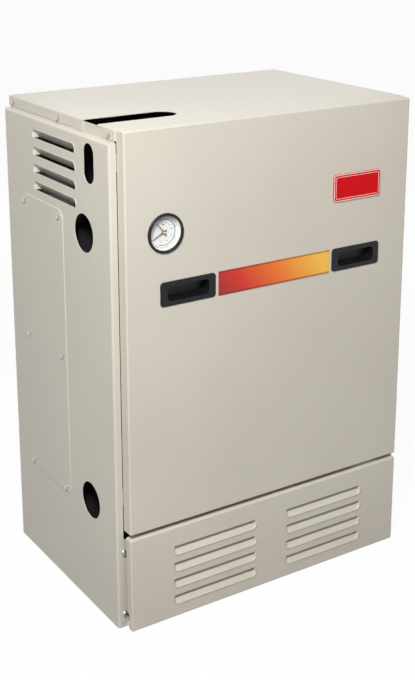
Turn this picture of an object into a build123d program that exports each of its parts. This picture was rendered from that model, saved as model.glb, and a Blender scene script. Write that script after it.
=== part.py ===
from build123d import *
import os

# Heating boiler: a floor-standing gas boiler with cast-iron sections in a folded sheet-steel jacket.
# Millimetres. +Z is up, the door faces -Y, and the origin is on the floor under the middle of the boiler.
# Depths are distances behind the face of the front door, which behind() turns into Y.

# Jacket
HEIGHT = 851.0
DOOR_WIDTH = 568.0
DOOR_DEPTH = 22.0
SIDE_DEPTH = 382.0
SIDE_OUTSET = 13.7
SHEET = 1.2
DOOR_BEND = 3.0
SIDE_BEND = 4.0
LEDGE_DROP = 21.0
TOP_FLANGE_OUTSET = 3.7
TOP_FLANGE_DROP = 18.0
TOP_SEAM = 0.8
FIT_GAP = 0.3

# Lower front panel
LOWER_PANEL_HEIGHT = 171.0
LOWER_PANEL_LIFT = 1.0
LOWER_PANEL_DEPTH = 15.0
LOWER_RELIEF_DEPTH = 5.0
LOWER_RELIEF_HEIGHT = 32.0
DOOR_GAP = 8.0

# Base pan
PAN_SHEET = 1.5
PAN_WALL = 40.0
PAN_EDGE = 2.7
REAR_PANEL_INSET = 5.2
POST_HEIGHT = 163.0
POST_INNER = 16.0
POST_OUTER = 9.0
TAB_HEIGHT = 8.0

# Louvers, pressed inward
LOUVER_DEPTH = 10.0
LOUVER_CORNER = 8.0
LOUVER_TAPER = 25.0
FRONT_LOUVER_LENGTH = 169.0
FRONT_LOUVER_HEIGHT = 16.5
FRONT_LOUVER_COLUMN = 117.0
FRONT_LOUVER_TOP = 135.3
FRONT_LOUVER_PITCH = 31.0
SIDE_LOUVER_LENGTH = 155.0
SIDE_LOUVER_HEIGHT = 15.0
SIDE_LOUVER_CENTRE = 212.5
SIDE_LOUVER_SLIT = 795.5
SIDE_LOUVER_PITCH = 30.0
LOUVER_ROWS = 4

# Holes in the side panels
PIPE_DEPTH = 111.0
SUPPLY_HEIGHT = 670.0
RETURN_HEIGHT = 200.0
PIPE_HOLE_RADIUS = 32.0
SLOT_DEPTH = 88.5
SLOT_CENTRE_HEIGHT = 787.5
SLOT_WIDTH = 34.0
SLOT_HEIGHT = 65.0
COVER_FRONT = 185.0
COVER_WIDTH = 155.0
COVER_BOTTOM = 175.0
COVER_HEIGHT = 516.0
COVER_CORNER = 14.0
COVER_SCREW_INSET = 12.0
ACCESS_MARGIN = 23.0
ACCESS_CORNER = 10.0
BLANK_RIM = 3.5
BLANK_SPIGOT = 4.0

# Slot in the top panel
TOP_SLOT_FRONT = 75.0
TOP_SLOT_WIDTH = 49.0
TOP_SLOT_REACH = 150.0
TOP_NOTCH_FRONT = 62.0

# Hexagonal jacket screws
SCREW_FLATS = 7.0
SCREW_HEAD = 3.2
SCREW_WASHER_RADIUS = 5.0
SCREW_WASHER = 0.9
SCREW_RADIUS = 2.0
SCREW_LENGTH = 8.0
SCREW_CLEARANCE = 0.15
TOP_SCREW_DEPTHS = (38.0, 209.0, 385.0)
TOP_SCREW_DROP = 10.0
CORNER_SCREW_HEIGHTS = (26.0, 140.0)
CORNER_SCREW_OUTSET = 1.0
LOWER_SCREW_DEPTH = 9.0
LOWER_SCREW_HEIGHT = 16.7
REAR_SCREW_HEIGHTS = (90.0, 430.0, 780.0)
REAR_SCREW_INSET = 6.5

# Door fittings
STUD_INSET = 22.0
STUD_HEIGHTS = (240.0, 800.0)
STUD_RADIUS = 4.0
STUD_LENGTH = 36.0
CATCH_REACH = 48.0
CATCH_HEIGHT = 28.0
CATCH_BUSH_RADIUS = 8.0
CATCH_BUSH_LENGTH = 10.0
CATCH_CLEARANCE = 0.2
HANDLE_SPREAD = 171.0
HANDLE_HEIGHT = 583.0
HANDLE_SIZE = (104.0, 41.0)
HANDLE_PROUD = 1.8
HANDLE_BODY = (92.0, 31.0)
HANDLE_BODY_DEPTH = 19.0
HANDLE_FRAME_CORNER = 6.0
HANDLE_BODY_CORNER = 3.0
HANDLE_MOUTH = (78.0, 25.0)
HANDLE_POCKET_DEPTH = 18.0
HANDLE_TAPER = 12.0
HANDLE_GROOVE = (62.0, 9.0)
HANDLE_GROOVE_RISE = 8.5
HANDLE_GROOVE_DEPTH = 7.0
NAME_PLATE_SIZE = (227.0, 41.0)
NAME_PLATE_THICKNESS = 0.8
NAME_PLATE_CORNER = 1.5
BADGE_SIZE = (103.0, 47.5)
BADGE_CENTRE = (170.3, 709.8)
BADGE_THICKNESS = 2.0
BADGE_CORNER = 5.0

# Temperature and pressure gauge
GAUGE_X = -212.0
GAUGE_HEIGHT = 683.0
BEZEL_RADIUS = 32.5
BEZEL_OPENING = 28.4
BEZEL_PROUD = 3.0
BEZEL_COLLAR = 2.0
BEZEL_COLLAR_DEPTH = 7.0
CASE_CLEARANCE = 0.4
CASE_WALL = 1.1
CASE_DEPTH = 34.0
CASE_FRONT = 0.5
GLASS_FRONT = 1.2
GLASS_THICKNESS = 1.4
PRESSURE_POINTER_FRONT = 3.9
TEMPERATURE_POINTER_FRONT = 5.3
POINTER_THICKNESS = 0.6
DIAL_FRONT = 6.8
DIAL_THICKNESS = 0.8
SPINDLE_RADIUS = 1.5
SPINDLE_CLEARANCE = 0.06
POINTER_HUB_RADIUS = 3.2
POINTER_ROOT = 2.8
POINTER_TIP = 0.9
POINTER_TAIL = 6.0
PRESSURE_POINTER = (129.0, 21.0)
TEMPERATURE_POINTER = (207.0, 22.0)
STEM_RADIUS = 6.0
STEM_NUT_FLATS = 17.0
STEM_NUT_LENGTH = 10.0
STEM_ENGAGEMENT = 8.0
BOSS_WALL = 5.0
BOSS_REACH = 12.0
THREAD_CLEARANCE = 0.15

# Vestibule panel, which carries the controls in front of the cast-iron block
VESTIBULE_DEPTH = 168.0
VESTIBULE_TOP_CLEARANCE = 25.0
VESTIBULE_EAR_TOP = 680.0
VESTIBULE_EAR_BOTTOM = 60.0
WALL_HOLE_MARGIN = 3.0

# Cast-iron block
SECTION_COUNT = 5
SECTION_PITCH = 76.0
SECTION_THICKNESS = 45.0
SECTION_GAP = 1.0
BLOCK_FRONT = 186.0
BLOCK_DEPTH = 180.0
HEADER_INSET = 35.0
BLOCK_HEIGHT = 290.0
BLOCK_RIM = 12.0
CASTING_WALL = 8.0
PORT_DISC_RADIUS = 38.0
PORT_RADIUS = 28.0
PORT_BOSS_RADIUS = 30.0
PORT_BOSS_REACH = 6.0
FIN_RADIUS = 6.0
FIN_REACH = 12.0
FIN_COLUMNS = 3
FIN_ROWS = 3
NIPPLE_WALL = 3.0
NIPPLE_LENGTH = 30.0
NIPPLE_CLEARANCE = 0.05
TIE_ROD_RADIUS = 5.0
TIE_ROD_SETBACK = 10.0
TIE_LUG_HEIGHT = 20.0
TIE_LUG_REACH = 12.0
TIE_LUG_WIDTH = 20.0
TIE_NUT_FLATS = 17.0
TIE_NUT_LENGTH = 9.0
TIE_THREAD_END = 4.0
TIE_CLEARANCE = 0.2
INSULATION_THICKNESS = 15.0
INSULATION_SPACE = 25.0
INSULATION_TOP = 470.0
INSULATION_FRONT = 172.0

# Burner
BURNER_SHEET = 1.5
BURNER_BOX_HALF_WIDTH = 200.0
BURNER_BOX_FLOOR = 48.0
BURNER_BOX_FRONT = 176.0
BURNER_BOX_DEPTH = 196.0
BOARD_THICKNESS = 12.0
BURNER_SPACING = 90.0
BURNER_COUNT = 4
BURNER_HEIGHT = 110.0
BURNER_RADIUS = 15.0
BURNER_BORE = 13.5
BURNER_MOUTH_RADIUS = 18.0
BURNER_MOUTH_FRONT = 150.0
MOUTH_LENGTH = 18.0
BURNER_END_GAP = 6.0
BURNER_REST = 10.0
FLAME_SLOTS = 14
FLAME_SLOT_WIDTH = 2.0
MANIFOLD_RADIUS = 13.4
MANIFOLD_BORE = 10.5
MANIFOLD_LEFT = -172.0
MANIFOLD_END_WALL = 5.0
BRACKET_WIDTH = 10.0
BRACKET_FOOT = (34.0, 2.5)
MANIFOLD_BEND = 30.0
ORIFICE_RADIUS = 6.0
ORIFICE_REACH = 14.0
ORIFICE_BORE = 1.2
ORIFICE_ENGAGEMENT = 2.5
SENSOR_POSITIONS = (0.0, -90.0)
SENSOR_HEIGHT = 140.0
CERAMIC_RADIUS = 5.0
CERAMIC_FRONT = 152.0
CERAMIC_LENGTH = 34.0
ELECTRODE_RADIUS = 1.3
ELECTRODE_LENGTH = 40.0
SENSOR_PLATE = (26.0, 18.0, 1.5)
ROLLOUT_X = 90.0
ROLLOUT_HEIGHT = 150.0
ROLLOUT_RADIUS = 10.0
ROLLOUT_LENGTH = 13.0
RESET_RADIUS = 3.0
RESET_LENGTH = 9.0
RESET_PROUD = 4.0
RESET_BORE_ROOM = 3.0
RESET_CLEARANCE = 0.1

# Gas valve
VALVE_X = 208.0
VALVE_WIDTH = 72.0
VALVE_DEPTH = 72.0
VALVE_HEIGHT = 70.0
VALVE_EDGE = 4.0
GAS_END_X = 262.0
GAS_HUB_RADIUS = 15.0
GAS_THREAD_RADIUS = 9.3
GAS_THREAD_LENGTH = 14.0
KNOB_RADIUS = 16.0
KNOB_HEIGHT = 14.0
KNOB_RIBS = 12
KNOB_RIB_RADIUS = 1.6
KNOB_RIB_OUTSET = 0.6
KNOB_RIB_START = 3.0
KNOB_TOP_ROUNDING = 2.0
KNOB_STEM_RADIUS = 4.0
KNOB_STEM_HEIGHT = 10.0
KNOB_CLEARANCE = 0.08

# Flue collector and draught inducer
COLLECTOR_HALF_WIDTH = 176.0
COLLECTOR_INSET = 20.0
COLLECTOR_WALL_HEIGHT = 30.0
COLLECTOR_SLOPE_HEIGHT = 28.0
COLLECTOR_NECK_HALF = 48.0
COLLECTOR_NECK_RADIUS = 36.0
COLLECTOR_NECK_HEIGHT = 14.0
COLLECTOR_SHEET = 1.5
INDUCER_X = 60.0
INDUCER_RADIUS = 78.0
INDUCER_HEIGHT = 62.0
INDUCER_WALL = 2.0
INDUCER_DUCT_INNER = 10.0
INDUCER_DUCT_LENGTH = 78.0
WHEEL_RADIUS = 62.0
WHEEL_BLADE_DEPTH = 12.0
WHEEL_HEIGHT = 40.0
WHEEL_BLADES = 18
WHEEL_SHEET = 2.0
WHEEL_BLADE_SHEET = 1.2
WHEEL_HUB_DROP = 8.0
MOTOR_SHAFT_RADIUS = 4.0
SHAFT_CLEARANCE = 0.06
INDUCER_MOTOR_RADIUS = 40.0
INDUCER_FLANGE_OUTSET = 12.0
INDUCER_FLANGE_THICKNESS = 3.0
MOTOR_ROUNDING = 6.0
INDUCER_MOTOR_HEIGHT = 76.0
SHAFT_ENGAGEMENT = 45.0
SHAFT_END_ROOM = 2.0
FLUE_RADIUS = 38.1
FLUE_WALL = 1.2
COLLAR_REACH = 30.0
COLLAR_PLATE = 84.0
COLLAR_PLATE_THICKNESS = 2.0
COLLAR_STEP = 0.7

# Hydronic pipes
PIPE_RADIUS = 21.1
PIPE_BORE = 17.5
PIPE_BEND = 38.0
ELBOW_BEND = 37.5
TAPPING_END_X = 262.0
HUB_RADIUS = 27.0
HUB_LENGTH = 24.0
TAPPING_RADIUS = 19.5
TAPPING_DEPTH = 18.0
FLANGE_RADIUS = 38.0
FLANGE_THICKNESS = 9.0
PUMP_LENGTH = 162.0
VOLUTE_RADIUS = 52.0
VOLUTE_HALF_WIDTH = 22.0
VOLUTE_WALL = 6.0
IMPELLER_RADIUS = 36.0
IMPELLER_WIDTH = 12.0
IMPELLER_GAP = 5.0
PUMP_MOTOR_RADIUS = 44.0
PUMP_MOTOR_LENGTH = 95.0

# Relief valve and drain valve
RELIEF_RADIUS = 17.0
RELIEF_HEIGHT = 66.0
RELIEF_CAP_RADIUS = 12.0
RELIEF_CAP_HEIGHT = 12.0
RELIEF_OUTLET_RADIUS = 15.0
RELIEF_OUTLET_REACH = 30.0
RELIEF_NIPPLE_RADIUS = 12.0
RELIEF_NIPPLE_LENGTH = 6.0
RELIEF_OUTLET_WALL = 4.5
LEVER_LENGTH = 46.0
LEVER_WIDTH = 12.0
LEVER_THICKNESS = 2.5
LEVER_PIN_RADIUS = 2.0
LEVER_EAR = 3.0
LEVER_EAR_RIM = 1.5
LEVER_BLADE_RISE = 1.0
LEVER_CLEARANCE = 0.08
DRAIN_RADIUS = 12.0
DRAIN_FRONT = 46.0
DRAIN_SPOUT_DEPTH = 62.0
DRAIN_SPOUT_RADIUS = 13.2
DRAIN_SPOUT_LENGTH = 34.0
DRAIN_SPOUT_WALL = 3.5
DRAIN_HANDLE_RADIUS = 21.0
DRAIN_HANDLE_FRONT = 30.0
DRAIN_HANDLE_THICKNESS = 8.0
DRAIN_STEM_RADIUS = 3.5
DRAIN_HANDLE_LOBES = 8
DRAIN_LOBE_RADIUS = 5.0
DRAIN_LOBE_OUTSET = 2.0
DRAIN_STEM_DEPTH = 30.0

# Controls on the vestibule panel
SWITCH_X = 20.0
SWITCH_HEIGHT = 640.0
SWITCH_RADIUS = 38.0
SWITCH_BODY_SHARE = 0.7
SWITCH_RIM_FRONT = 8.0
SWITCH_RIM_BACK = 4.0
SWITCH_SPIGOT_RADIUS = 4.0
SWITCH_SPIGOT_LENGTH = 10.0
SWITCH_LENGTH = 30.0
CONTROL_BOX_X = (90.0, 262.0)
CONTROL_BOX_Z = (620.0, 800.0)
CONTROL_BOX_EDGE = 2.0
CONTROL_BOX_DEPTH = 76.0
AQUASTAT_X = (100.0, 168.0)
AQUASTAT_Z = (480.0, 575.0)
AQUASTAT_EDGE = 3.0
AQUASTAT_BORE_DEPTH = 12.0
AQUASTAT_DEPTH = 50.0
AQUASTAT_DIAL_RADIUS = 19.0
AQUASTAT_DIAL_THICKNESS = 9.0
AQUASTAT_DIAL_EDGE = 2.0
AQUASTAT_GROOVE = (2.4, 1.5)
AQUASTAT_STEM_LENGTH = 11.0
MODULE_X = (190.0, 262.0)
MODULE_Z = (440.0, 570.0)
MODULE_EDGE = 3.0
TERMINAL_COUNT = 4
TERMINAL_INSET = 12.0
TERMINAL_PITCH = 14.0
TERMINAL_SIZE = (6.0, 6.0, 8.0)
MODULE_DEPTH = 30.0

# Places worked out from the sizes
half_door = DOOR_WIDTH / 2
side_x = half_door + SIDE_OUTSET
jacket_depth = DOOR_DEPTH + SIDE_DEPTH
flange_x = half_door + TOP_FLANGE_OUTSET
upstand_x = flange_x - SHEET
inner_x = upstand_x - SHEET
ledge_z = HEIGHT - LEDGE_DROP
door_bottom = LOWER_PANEL_HEIGHT + DOOR_GAP
flange_back = DOOR_DEPTH + SHEET
pan_wall_x = inner_x - FIT_GAP - 0.5
rear_panel_back = jacket_depth - SHEET
face_y = (BEZEL_PROUD - jacket_depth - COLLAR_REACH) / 2
block_bottom = RETURN_HEIGHT - HEADER_INSET
block_top = block_bottom + BLOCK_HEIGHT
upper_port_z = block_top - HEADER_INSET
block_half_width = SECTION_COUNT * SECTION_PITCH / 2
block_middle = BLOCK_FRONT + BLOCK_DEPTH / 2
end_section_x = block_half_width - SECTION_PITCH / 2
port_boss_face = BLOCK_FRONT - PORT_BOSS_REACH
pump_top = SUPPLY_HEIGHT - PIPE_BEND
pump_bottom = pump_top - PUMP_LENGTH
pump_z = (pump_top + pump_bottom) / 2
collector_top = block_top + COLLECTOR_WALL_HEIGHT + COLLECTOR_SLOPE_HEIGHT
inducer_bottom = collector_top + COLLECTOR_NECK_HEIGHT
inducer_top = inducer_bottom + INDUCER_HEIGHT
duct_back = block_middle + INDUCER_DUCT_LENGTH
flue_x = INDUCER_X + (INDUCER_DUCT_INNER + INDUCER_RADIUS) / 2
flue_z = (inducer_bottom + inducer_top) / 2
valve_bottom = RETURN_HEIGHT - VALVE_HEIGHT / 2
valve_top = RETURN_HEIGHT + VALVE_HEIGHT / 2
relief_base = SUPPLY_HEIGHT + PIPE_RADIUS + 3.0
relief_top = relief_base + RELIEF_HEIGHT
lever_pin_z = relief_top + RELIEF_CAP_HEIGHT - LEVER_EAR

# Turns a shape drawn on XY and built along +Z so that it runs into the boiler from the front, with Y up
INWARD = Rot(0, 0, 180) * Rot(90, 0, 0)
# The same, but built outward, towards the viewer
OUTWARD = Rot(90, 0, 0)
# A cylinder or cone that stands on its place
STANDING = (Align.CENTER, Align.CENTER, Align.MIN)


def behind(depth):
    """The Y coordinate of a point this far behind the door's face."""
    return face_y + depth


def block(x, y, z):
    """A box between two limits along each axis."""
    centre = Pos((x[0] + x[1]) / 2, (y[0] + y[1]) / 2, (z[0] + z[1]) / 2)
    return centre * Box(x[1] - x[0], y[1] - y[0], z[1] - z[0])


def layer(x, depths, z):
    """A box whose Y limits are depths behind the door's face."""
    return block(x, (behind(depths[0]), behind(depths[1])), z)


def rod(axis, span, place, radius):
    """A cylinder along x, y or z over a span, centred on the other two coordinates."""
    planes = {
        "x": Plane(origin=(span[0], place[0], place[1]), z_dir=(1, 0, 0)),
        "y": Plane(origin=(place[0], span[0], place[1]), z_dir=(0, 1, 0)),
        "z": Plane(origin=(place[0], place[1], span[0]), z_dir=(0, 0, 1)),
    }
    return planes[axis] * Cylinder(radius, span[1] - span[0], align=STANDING)


def deep_rod(depths, place, radius):
    """A cylinder along Y between two depths behind the door's face, centred on X and Z."""
    return rod("y", (behind(depths[0]), behind(depths[1])), place, radius)


def mirrored(part):
    """The same piece on the right side of the boiler."""
    return mirror(part, about=Plane.YZ)


def both_sides(part):
    return part + mirrored(part)


def prism_hex(plane, flats, height):
    return extrude(plane * RegularPolygon(flats / 2, 6, major_radius=False), height)


def screw(point, outward):
    """A hexagon-head sheet-metal screw whose washer seats on point and faces outward."""
    seat = Plane(origin=point, z_dir=outward)
    down = (Align.CENTER, Align.CENTER, Align.MAX)
    washer = seat * Cylinder(SCREW_WASHER_RADIUS, SCREW_WASHER, align=STANDING)
    shank = seat * Cylinder(SCREW_RADIUS, SCREW_LENGTH, align=down)
    return washer + shank + prism_hex(seat, SCREW_FLATS, SCREW_WASHER + SCREW_HEAD)


def screw_hole(point, outward):
    seat = Plane(origin=point, z_dir=outward)
    return seat * Cylinder(SCREW_RADIUS + SCREW_CLEARANCE, 4 * SCREW_LENGTH)


def pipe(points, bend, radius):
    """A round bar along straight runs joined by arcs."""
    path = FilletPolyline(*points, radius=bend)
    return sweep(Plane(origin=points[0], z_dir=path % 0) * Circle(radius), path=path)


# Where the jacket screws of the left half sit, each as a point and the way its head faces
top_screws = [
    ((-flange_x, behind(depth), HEIGHT - TOP_SCREW_DROP), (-1, 0, 0)) for depth in TOP_SCREW_DEPTHS
]
corner_screws = [
    ((-half_door - CORNER_SCREW_OUTSET, behind(DOOR_DEPTH), z), (0, -1, 0)) for z in CORNER_SCREW_HEIGHTS
]
lower_screws = [((-half_door, behind(LOWER_SCREW_DEPTH), LOWER_SCREW_HEIGHT), (-1, 0, 0))]
rear_screws = [
    ((-side_x + REAR_SCREW_INSET, behind(jacket_depth), z), (0, 1, 0)) for z in REAR_SCREW_HEIGHTS
]
cover_back = COVER_FRONT + COVER_WIDTH
cover_top = COVER_BOTTOM + COVER_HEIGHT
cover_screws = [
    ((-side_x - SHEET, behind(depth), z), (-1, 0, 0))
    for depth in (COVER_FRONT + COVER_SCREW_INSET, cover_back - COVER_SCREW_INSET)
    for z in (COVER_BOTTOM + COVER_SCREW_INSET, (COVER_BOTTOM + cover_top) / 2, cover_top - COVER_SCREW_INSET)
]


tab_top = LOWER_SCREW_HEIGHT + TAB_HEIGHT / 2


def drill(part, places):
    for point, outward in places:
        part -= screw_hole(point, outward)
    return part


def on_both_sides(places):
    """The same screw places with their mirror images on the right."""
    return places + [((-p[0], p[1], p[2]), (-out[0], out[1], out[2])) for p, out in places]


# Louvers

def louver_form(length, height, grow):
    """The inner form of a louver, or its outer form when grown by the sheet, pressed along +Y.

    The slit lies on z = 0 and the pressed sheet runs out flush at the bottom.
    """
    depth = LOUVER_DEPTH + grow
    outline = Rectangle(length + 2 * grow, height + grow + 2 * depth, align=(Align.CENTER, Align.MIN))
    outline = fillet(outline.vertices().group_by(Axis.Y)[0], LOUVER_CORNER + grow)
    pressed = Pos(0, 0, -SHEET) * extrude(outline, depth + 2 * SHEET, taper=LOUVER_TAPER)
    ramp = Plane.YZ * make_face(
        Polyline((0, -SHEET), (0, 0), (height + grow, depth), (height + grow, -SHEET), close=True)
    )
    ramp = extrude(ramp, length, both=True)
    return INWARD * Pos(0, -height - grow, 0) * (pressed & ramp)


def press_louvers(panel, length, height, places):
    """Presses a louver into the panel at each place."""
    inside = louver_form(length, height, 0)
    outside = louver_form(length, height, SHEET)
    for place in places:
        panel = (panel - place * inside) + place * (outside - inside)
    return panel


# Jacket

def make_base_pan():
    depths = (flange_back, rear_panel_back - SHEET)
    tray = layer((-pan_wall_x, pan_wall_x), depths, (0, PAN_WALL))
    inset = PAN_SHEET
    inner_depths = (depths[0] + inset, depths[1] - inset)
    tray -= layer((-pan_wall_x + inset, pan_wall_x - inset), inner_depths, (inset, HEIGHT))
    edge = side_x - PAN_EDGE
    tray += layer((-edge, edge), depths, (0, PAN_SHEET))
    post_x = (-half_door - POST_OUTER, -half_door + POST_INNER)
    post = layer(post_x, (flange_back, flange_back + PAN_SHEET), (PAN_SHEET + SHEET + FIT_GAP, POST_HEIGHT))
    tab_x = -half_door + SHEET
    tab_depths = (DOOR_BEND + FIT_GAP, flange_back + PAN_SHEET)
    tab = layer((tab_x, tab_x + PAN_SHEET), tab_depths, (tab_top - TAB_HEIGHT, tab_top))
    return drill(tray + both_sides(post + tab), on_both_sides(corner_screws + lower_screws))


def side_shell():
    depths = (DOOR_DEPTH, jacket_depth)
    outer = layer((-side_x, -inner_x), depths, (PAN_SHEET, ledge_z))
    cavity_depths = (DOOR_DEPTH + SHEET, jacket_depth - SHEET)
    cavity = layer((-side_x + SHEET, SHEET - inner_x), cavity_depths, (PAN_SHEET + SHEET, ledge_z - SHEET))

    def bent_edges(part):
        outer_face = part.faces().sort_by(Axis.X)[0]
        return outer_face.edges().filter_by(Axis.Z) + outer_face.edges().sort_by(Axis.Z)[-1:]

    return fillet(bent_edges(outer), SIDE_BEND) - fillet(bent_edges(cavity), SIDE_BEND - SHEET)


def make_left_side_panel():
    panel = side_shell()
    upstand_depths = (flange_back + 2 * SHEET, rear_panel_back - SHEET - FIT_GAP)
    panel += layer((-upstand_x, -inner_x), upstand_depths, (ledge_z - SHEET, HEIGHT - 2 * SHEET - FIT_GAP))
    tab_x = (-side_x + SIDE_BEND, -half_door + POST_INNER / 2)
    panel += layer(tab_x, (DOOR_DEPTH, flange_back), (tab_top + FIT_GAP, POST_HEIGHT))
    slits = [SIDE_LOUVER_SLIT - row * SIDE_LOUVER_PITCH for row in range(LOUVER_ROWS)]
    turn = Rot(0, 0, -90) * Rot(0, 180, 0)
    places = [Pos(-side_x, behind(SIDE_LOUVER_CENTRE), z) * turn for z in slits]
    panel = press_louvers(panel, SIDE_LOUVER_LENGTH, SIDE_LOUVER_HEIGHT, places)
    wall = (-side_x - SHEET, -side_x + 2 * SHEET)
    for z in (SUPPLY_HEIGHT, RETURN_HEIGHT):
        panel -= rod("x", wall, (behind(PIPE_DEPTH), z), PIPE_HOLE_RADIUS)
    slot = Plane(origin=(wall[0], behind(SLOT_DEPTH), SLOT_CENTRE_HEIGHT), z_dir=(1, 0, 0), x_dir=(0, 0, 1))
    panel -= extrude(slot * SlotOverall(SLOT_HEIGHT, SLOT_WIDTH), wall[1] - wall[0])
    access_depths = (COVER_FRONT + ACCESS_MARGIN, cover_back - ACCESS_MARGIN)
    access = layer(wall, access_depths, (COVER_BOTTOM + ACCESS_MARGIN, cover_top - ACCESS_MARGIN))
    panel -= fillet(access.edges().filter_by(Axis.X), ACCESS_CORNER)
    return drill(panel, top_screws + corner_screws + rear_screws + cover_screws)


def make_top_panel():
    depths = (DOOR_DEPTH + TOP_SEAM, jacket_depth)
    flange_bottom = HEIGHT - TOP_FLANGE_DROP
    panel = layer((-flange_x, flange_x), depths, (flange_bottom, HEIGHT))
    panel = fillet(panel.faces().sort_by(Axis.Z)[-1].edges(), 2 * SHEET)
    cavity_depths = (depths[0] + SHEET, depths[1] - SHEET)
    cavity = layer((SHEET - flange_x, flange_x - SHEET), cavity_depths, (flange_bottom - 1, HEIGHT - SHEET))
    panel -= fillet(cavity.faces().sort_by(Axis.Z)[-1].edges(), SHEET)
    slot_back = TOP_SLOT_FRONT + TOP_SLOT_WIDTH
    end_radius = TOP_SLOT_WIDTH / 2
    slot_end = TOP_SLOT_REACH - half_door
    through = (flange_bottom - 1, HEIGHT + 1)
    panel -= layer((-flange_x - 1, slot_end - end_radius), (TOP_SLOT_FRONT, slot_back), through)
    slot_middle = behind(TOP_SLOT_FRONT + end_radius)
    panel -= rod("z", through, (slot_end - end_radius, slot_middle), end_radius)
    notch_z = (flange_bottom - 1, HEIGHT - 2 * SHEET)
    panel -= layer((-flange_x - 1, -inner_x), (TOP_NOTCH_FRONT, slot_back), notch_z)
    return drill(panel, on_both_sides(top_screws))


def make_rear_panel():
    depths = (rear_panel_back - SHEET, rear_panel_back)
    width = side_x - REAR_PANEL_INSET
    panel = layer((-width, width), depths, (PAN_SHEET + SHEET + FIT_GAP, ledge_z - SHEET - FIT_GAP))
    middle = inner_x - FIT_GAP
    panel += layer((-middle, middle), depths, (ledge_z - 2 * SHEET, HEIGHT - 2 * SHEET - FIT_GAP))
    panel -= deep_rod((depths[0] - 1, depths[1] + 1), (flue_x, flue_z), FLUE_RADIUS + FIT_GAP)
    return drill(panel, on_both_sides(rear_screws))


def folded_pan(half_width, depth, z):
    """A front panel folded back along its four edges and open behind."""
    outer = layer((-half_width, half_width), (0, depth), z)
    front = outer.faces().sort_by(Axis.Y)[0]
    outer = fillet(front.edges() + outer.edges().filter_by(Axis.Y), DOOR_BEND)
    inner_z = (z[0] + SHEET, z[1] - SHEET)
    cavity = layer((SHEET - half_width, half_width - SHEET), (SHEET, depth + SHEET), inner_z)
    front = cavity.faces().sort_by(Axis.Y)[0]
    return outer - fillet(front.edges() + cavity.edges().filter_by(Axis.Y), DOOR_BEND - SHEET)


def make_front_door():
    door = folded_pan(half_door, DOOR_DEPTH, (door_bottom, HEIGHT))
    door -= deep_rod((-1, 2 * SHEET), (GAUGE_X, GAUGE_HEIGHT), BEZEL_OPENING + BEZEL_COLLAR + FIT_GAP)
    for x in (-HANDLE_SPREAD, HANDLE_SPREAD):
        hole = (HANDLE_BODY[0] / 2 + FIT_GAP, HANDLE_BODY[1] / 2 + FIT_GAP)
        hole_z = (HANDLE_HEIGHT - hole[1], HANDLE_HEIGHT + hole[1])
        door -= layer((x - hole[0], x + hole[0]), (-1, 2 * SHEET), hole_z)
    stud_x = half_door - STUD_INSET
    for z in STUD_HEIGHTS:
        for x in (-stud_x, stud_x):
            stud = deep_rod((SHEET / 2, STUD_LENGTH), (x, z), STUD_RADIUS)
            tip = stud.faces().sort_by(Axis.Y)[-1].edges()
            door += fillet(tip, STUD_RADIUS / 2)
    return door


def make_door_catches():
    """Brackets behind the side panels' front flanges, each with a bush that grips a stud of the door."""
    catches = []
    stud_x = -half_door + STUD_INSET
    back = flange_back + SHEET
    for z in STUD_HEIGHTS:
        plate_z = (z - CATCH_HEIGHT / 2, z + CATCH_HEIGHT / 2)
        outer = -side_x + SIDE_BEND
        plate = layer((outer, outer + CATCH_REACH), (flange_back, back), plate_z)
        bush = deep_rod((flange_back, flange_back + CATCH_BUSH_LENGTH), (stud_x, z), CATCH_BUSH_RADIUS)
        bore = deep_rod((DOOR_DEPTH, STUD_LENGTH + 2), (stud_x, z), STUD_RADIUS + CATCH_CLEARANCE)
        catches.append(plate + bush - bore)
    return Compound(children=[part for catch in catches for part in (catch, mirrored(catch))])


def make_lower_front_panel():
    z = (LOWER_PANEL_LIFT, LOWER_PANEL_HEIGHT)
    panel = folded_pan(half_door, LOWER_PANEL_DEPTH, z)
    relief = (LOWER_PANEL_DEPTH - LOWER_RELIEF_DEPTH, LOWER_PANEL_DEPTH + 1)
    panel -= layer((-side_x, side_x), relief, (-1, LOWER_RELIEF_HEIGHT))
    slits = [FRONT_LOUVER_TOP - row * FRONT_LOUVER_PITCH for row in range(LOUVER_ROWS)]
    columns = (-FRONT_LOUVER_COLUMN, FRONT_LOUVER_COLUMN)
    places = [Pos(x, behind(0), z) for x in columns for z in slits]
    panel = press_louvers(panel, FRONT_LOUVER_LENGTH, FRONT_LOUVER_HEIGHT, places)
    return drill(panel, on_both_sides(lower_screws))


def make_left_access_cover():
    depths = (COVER_FRONT, cover_back)
    cover = layer((-side_x - SHEET, -side_x), depths, (COVER_BOTTOM, cover_top))
    cover = fillet(cover.edges().filter_by(Axis.X), COVER_CORNER)
    cover = chamfer(cover.faces().sort_by(Axis.X)[0].edges(), SHEET / 2)
    return drill(cover, cover_screws)


def make_right_hole_blank():
    place = (behind(PIPE_DEPTH), SUPPLY_HEIGHT)
    rim = rod("x", (side_x, side_x + SHEET), place, PIPE_HOLE_RADIUS + BLANK_RIM)
    rim = fillet(rim.faces().sort_by(Axis.X)[-1].edges(), SHEET / 2)
    spigot = rod("x", (side_x - BLANK_SPIGOT, side_x), place, PIPE_HOLE_RADIUS - FIT_GAP)
    hollow = rod("x", (side_x - BLANK_SPIGOT, side_x), place, PIPE_HOLE_RADIUS - FIT_GAP - SHEET)
    return rim + (spigot - hollow)


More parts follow.
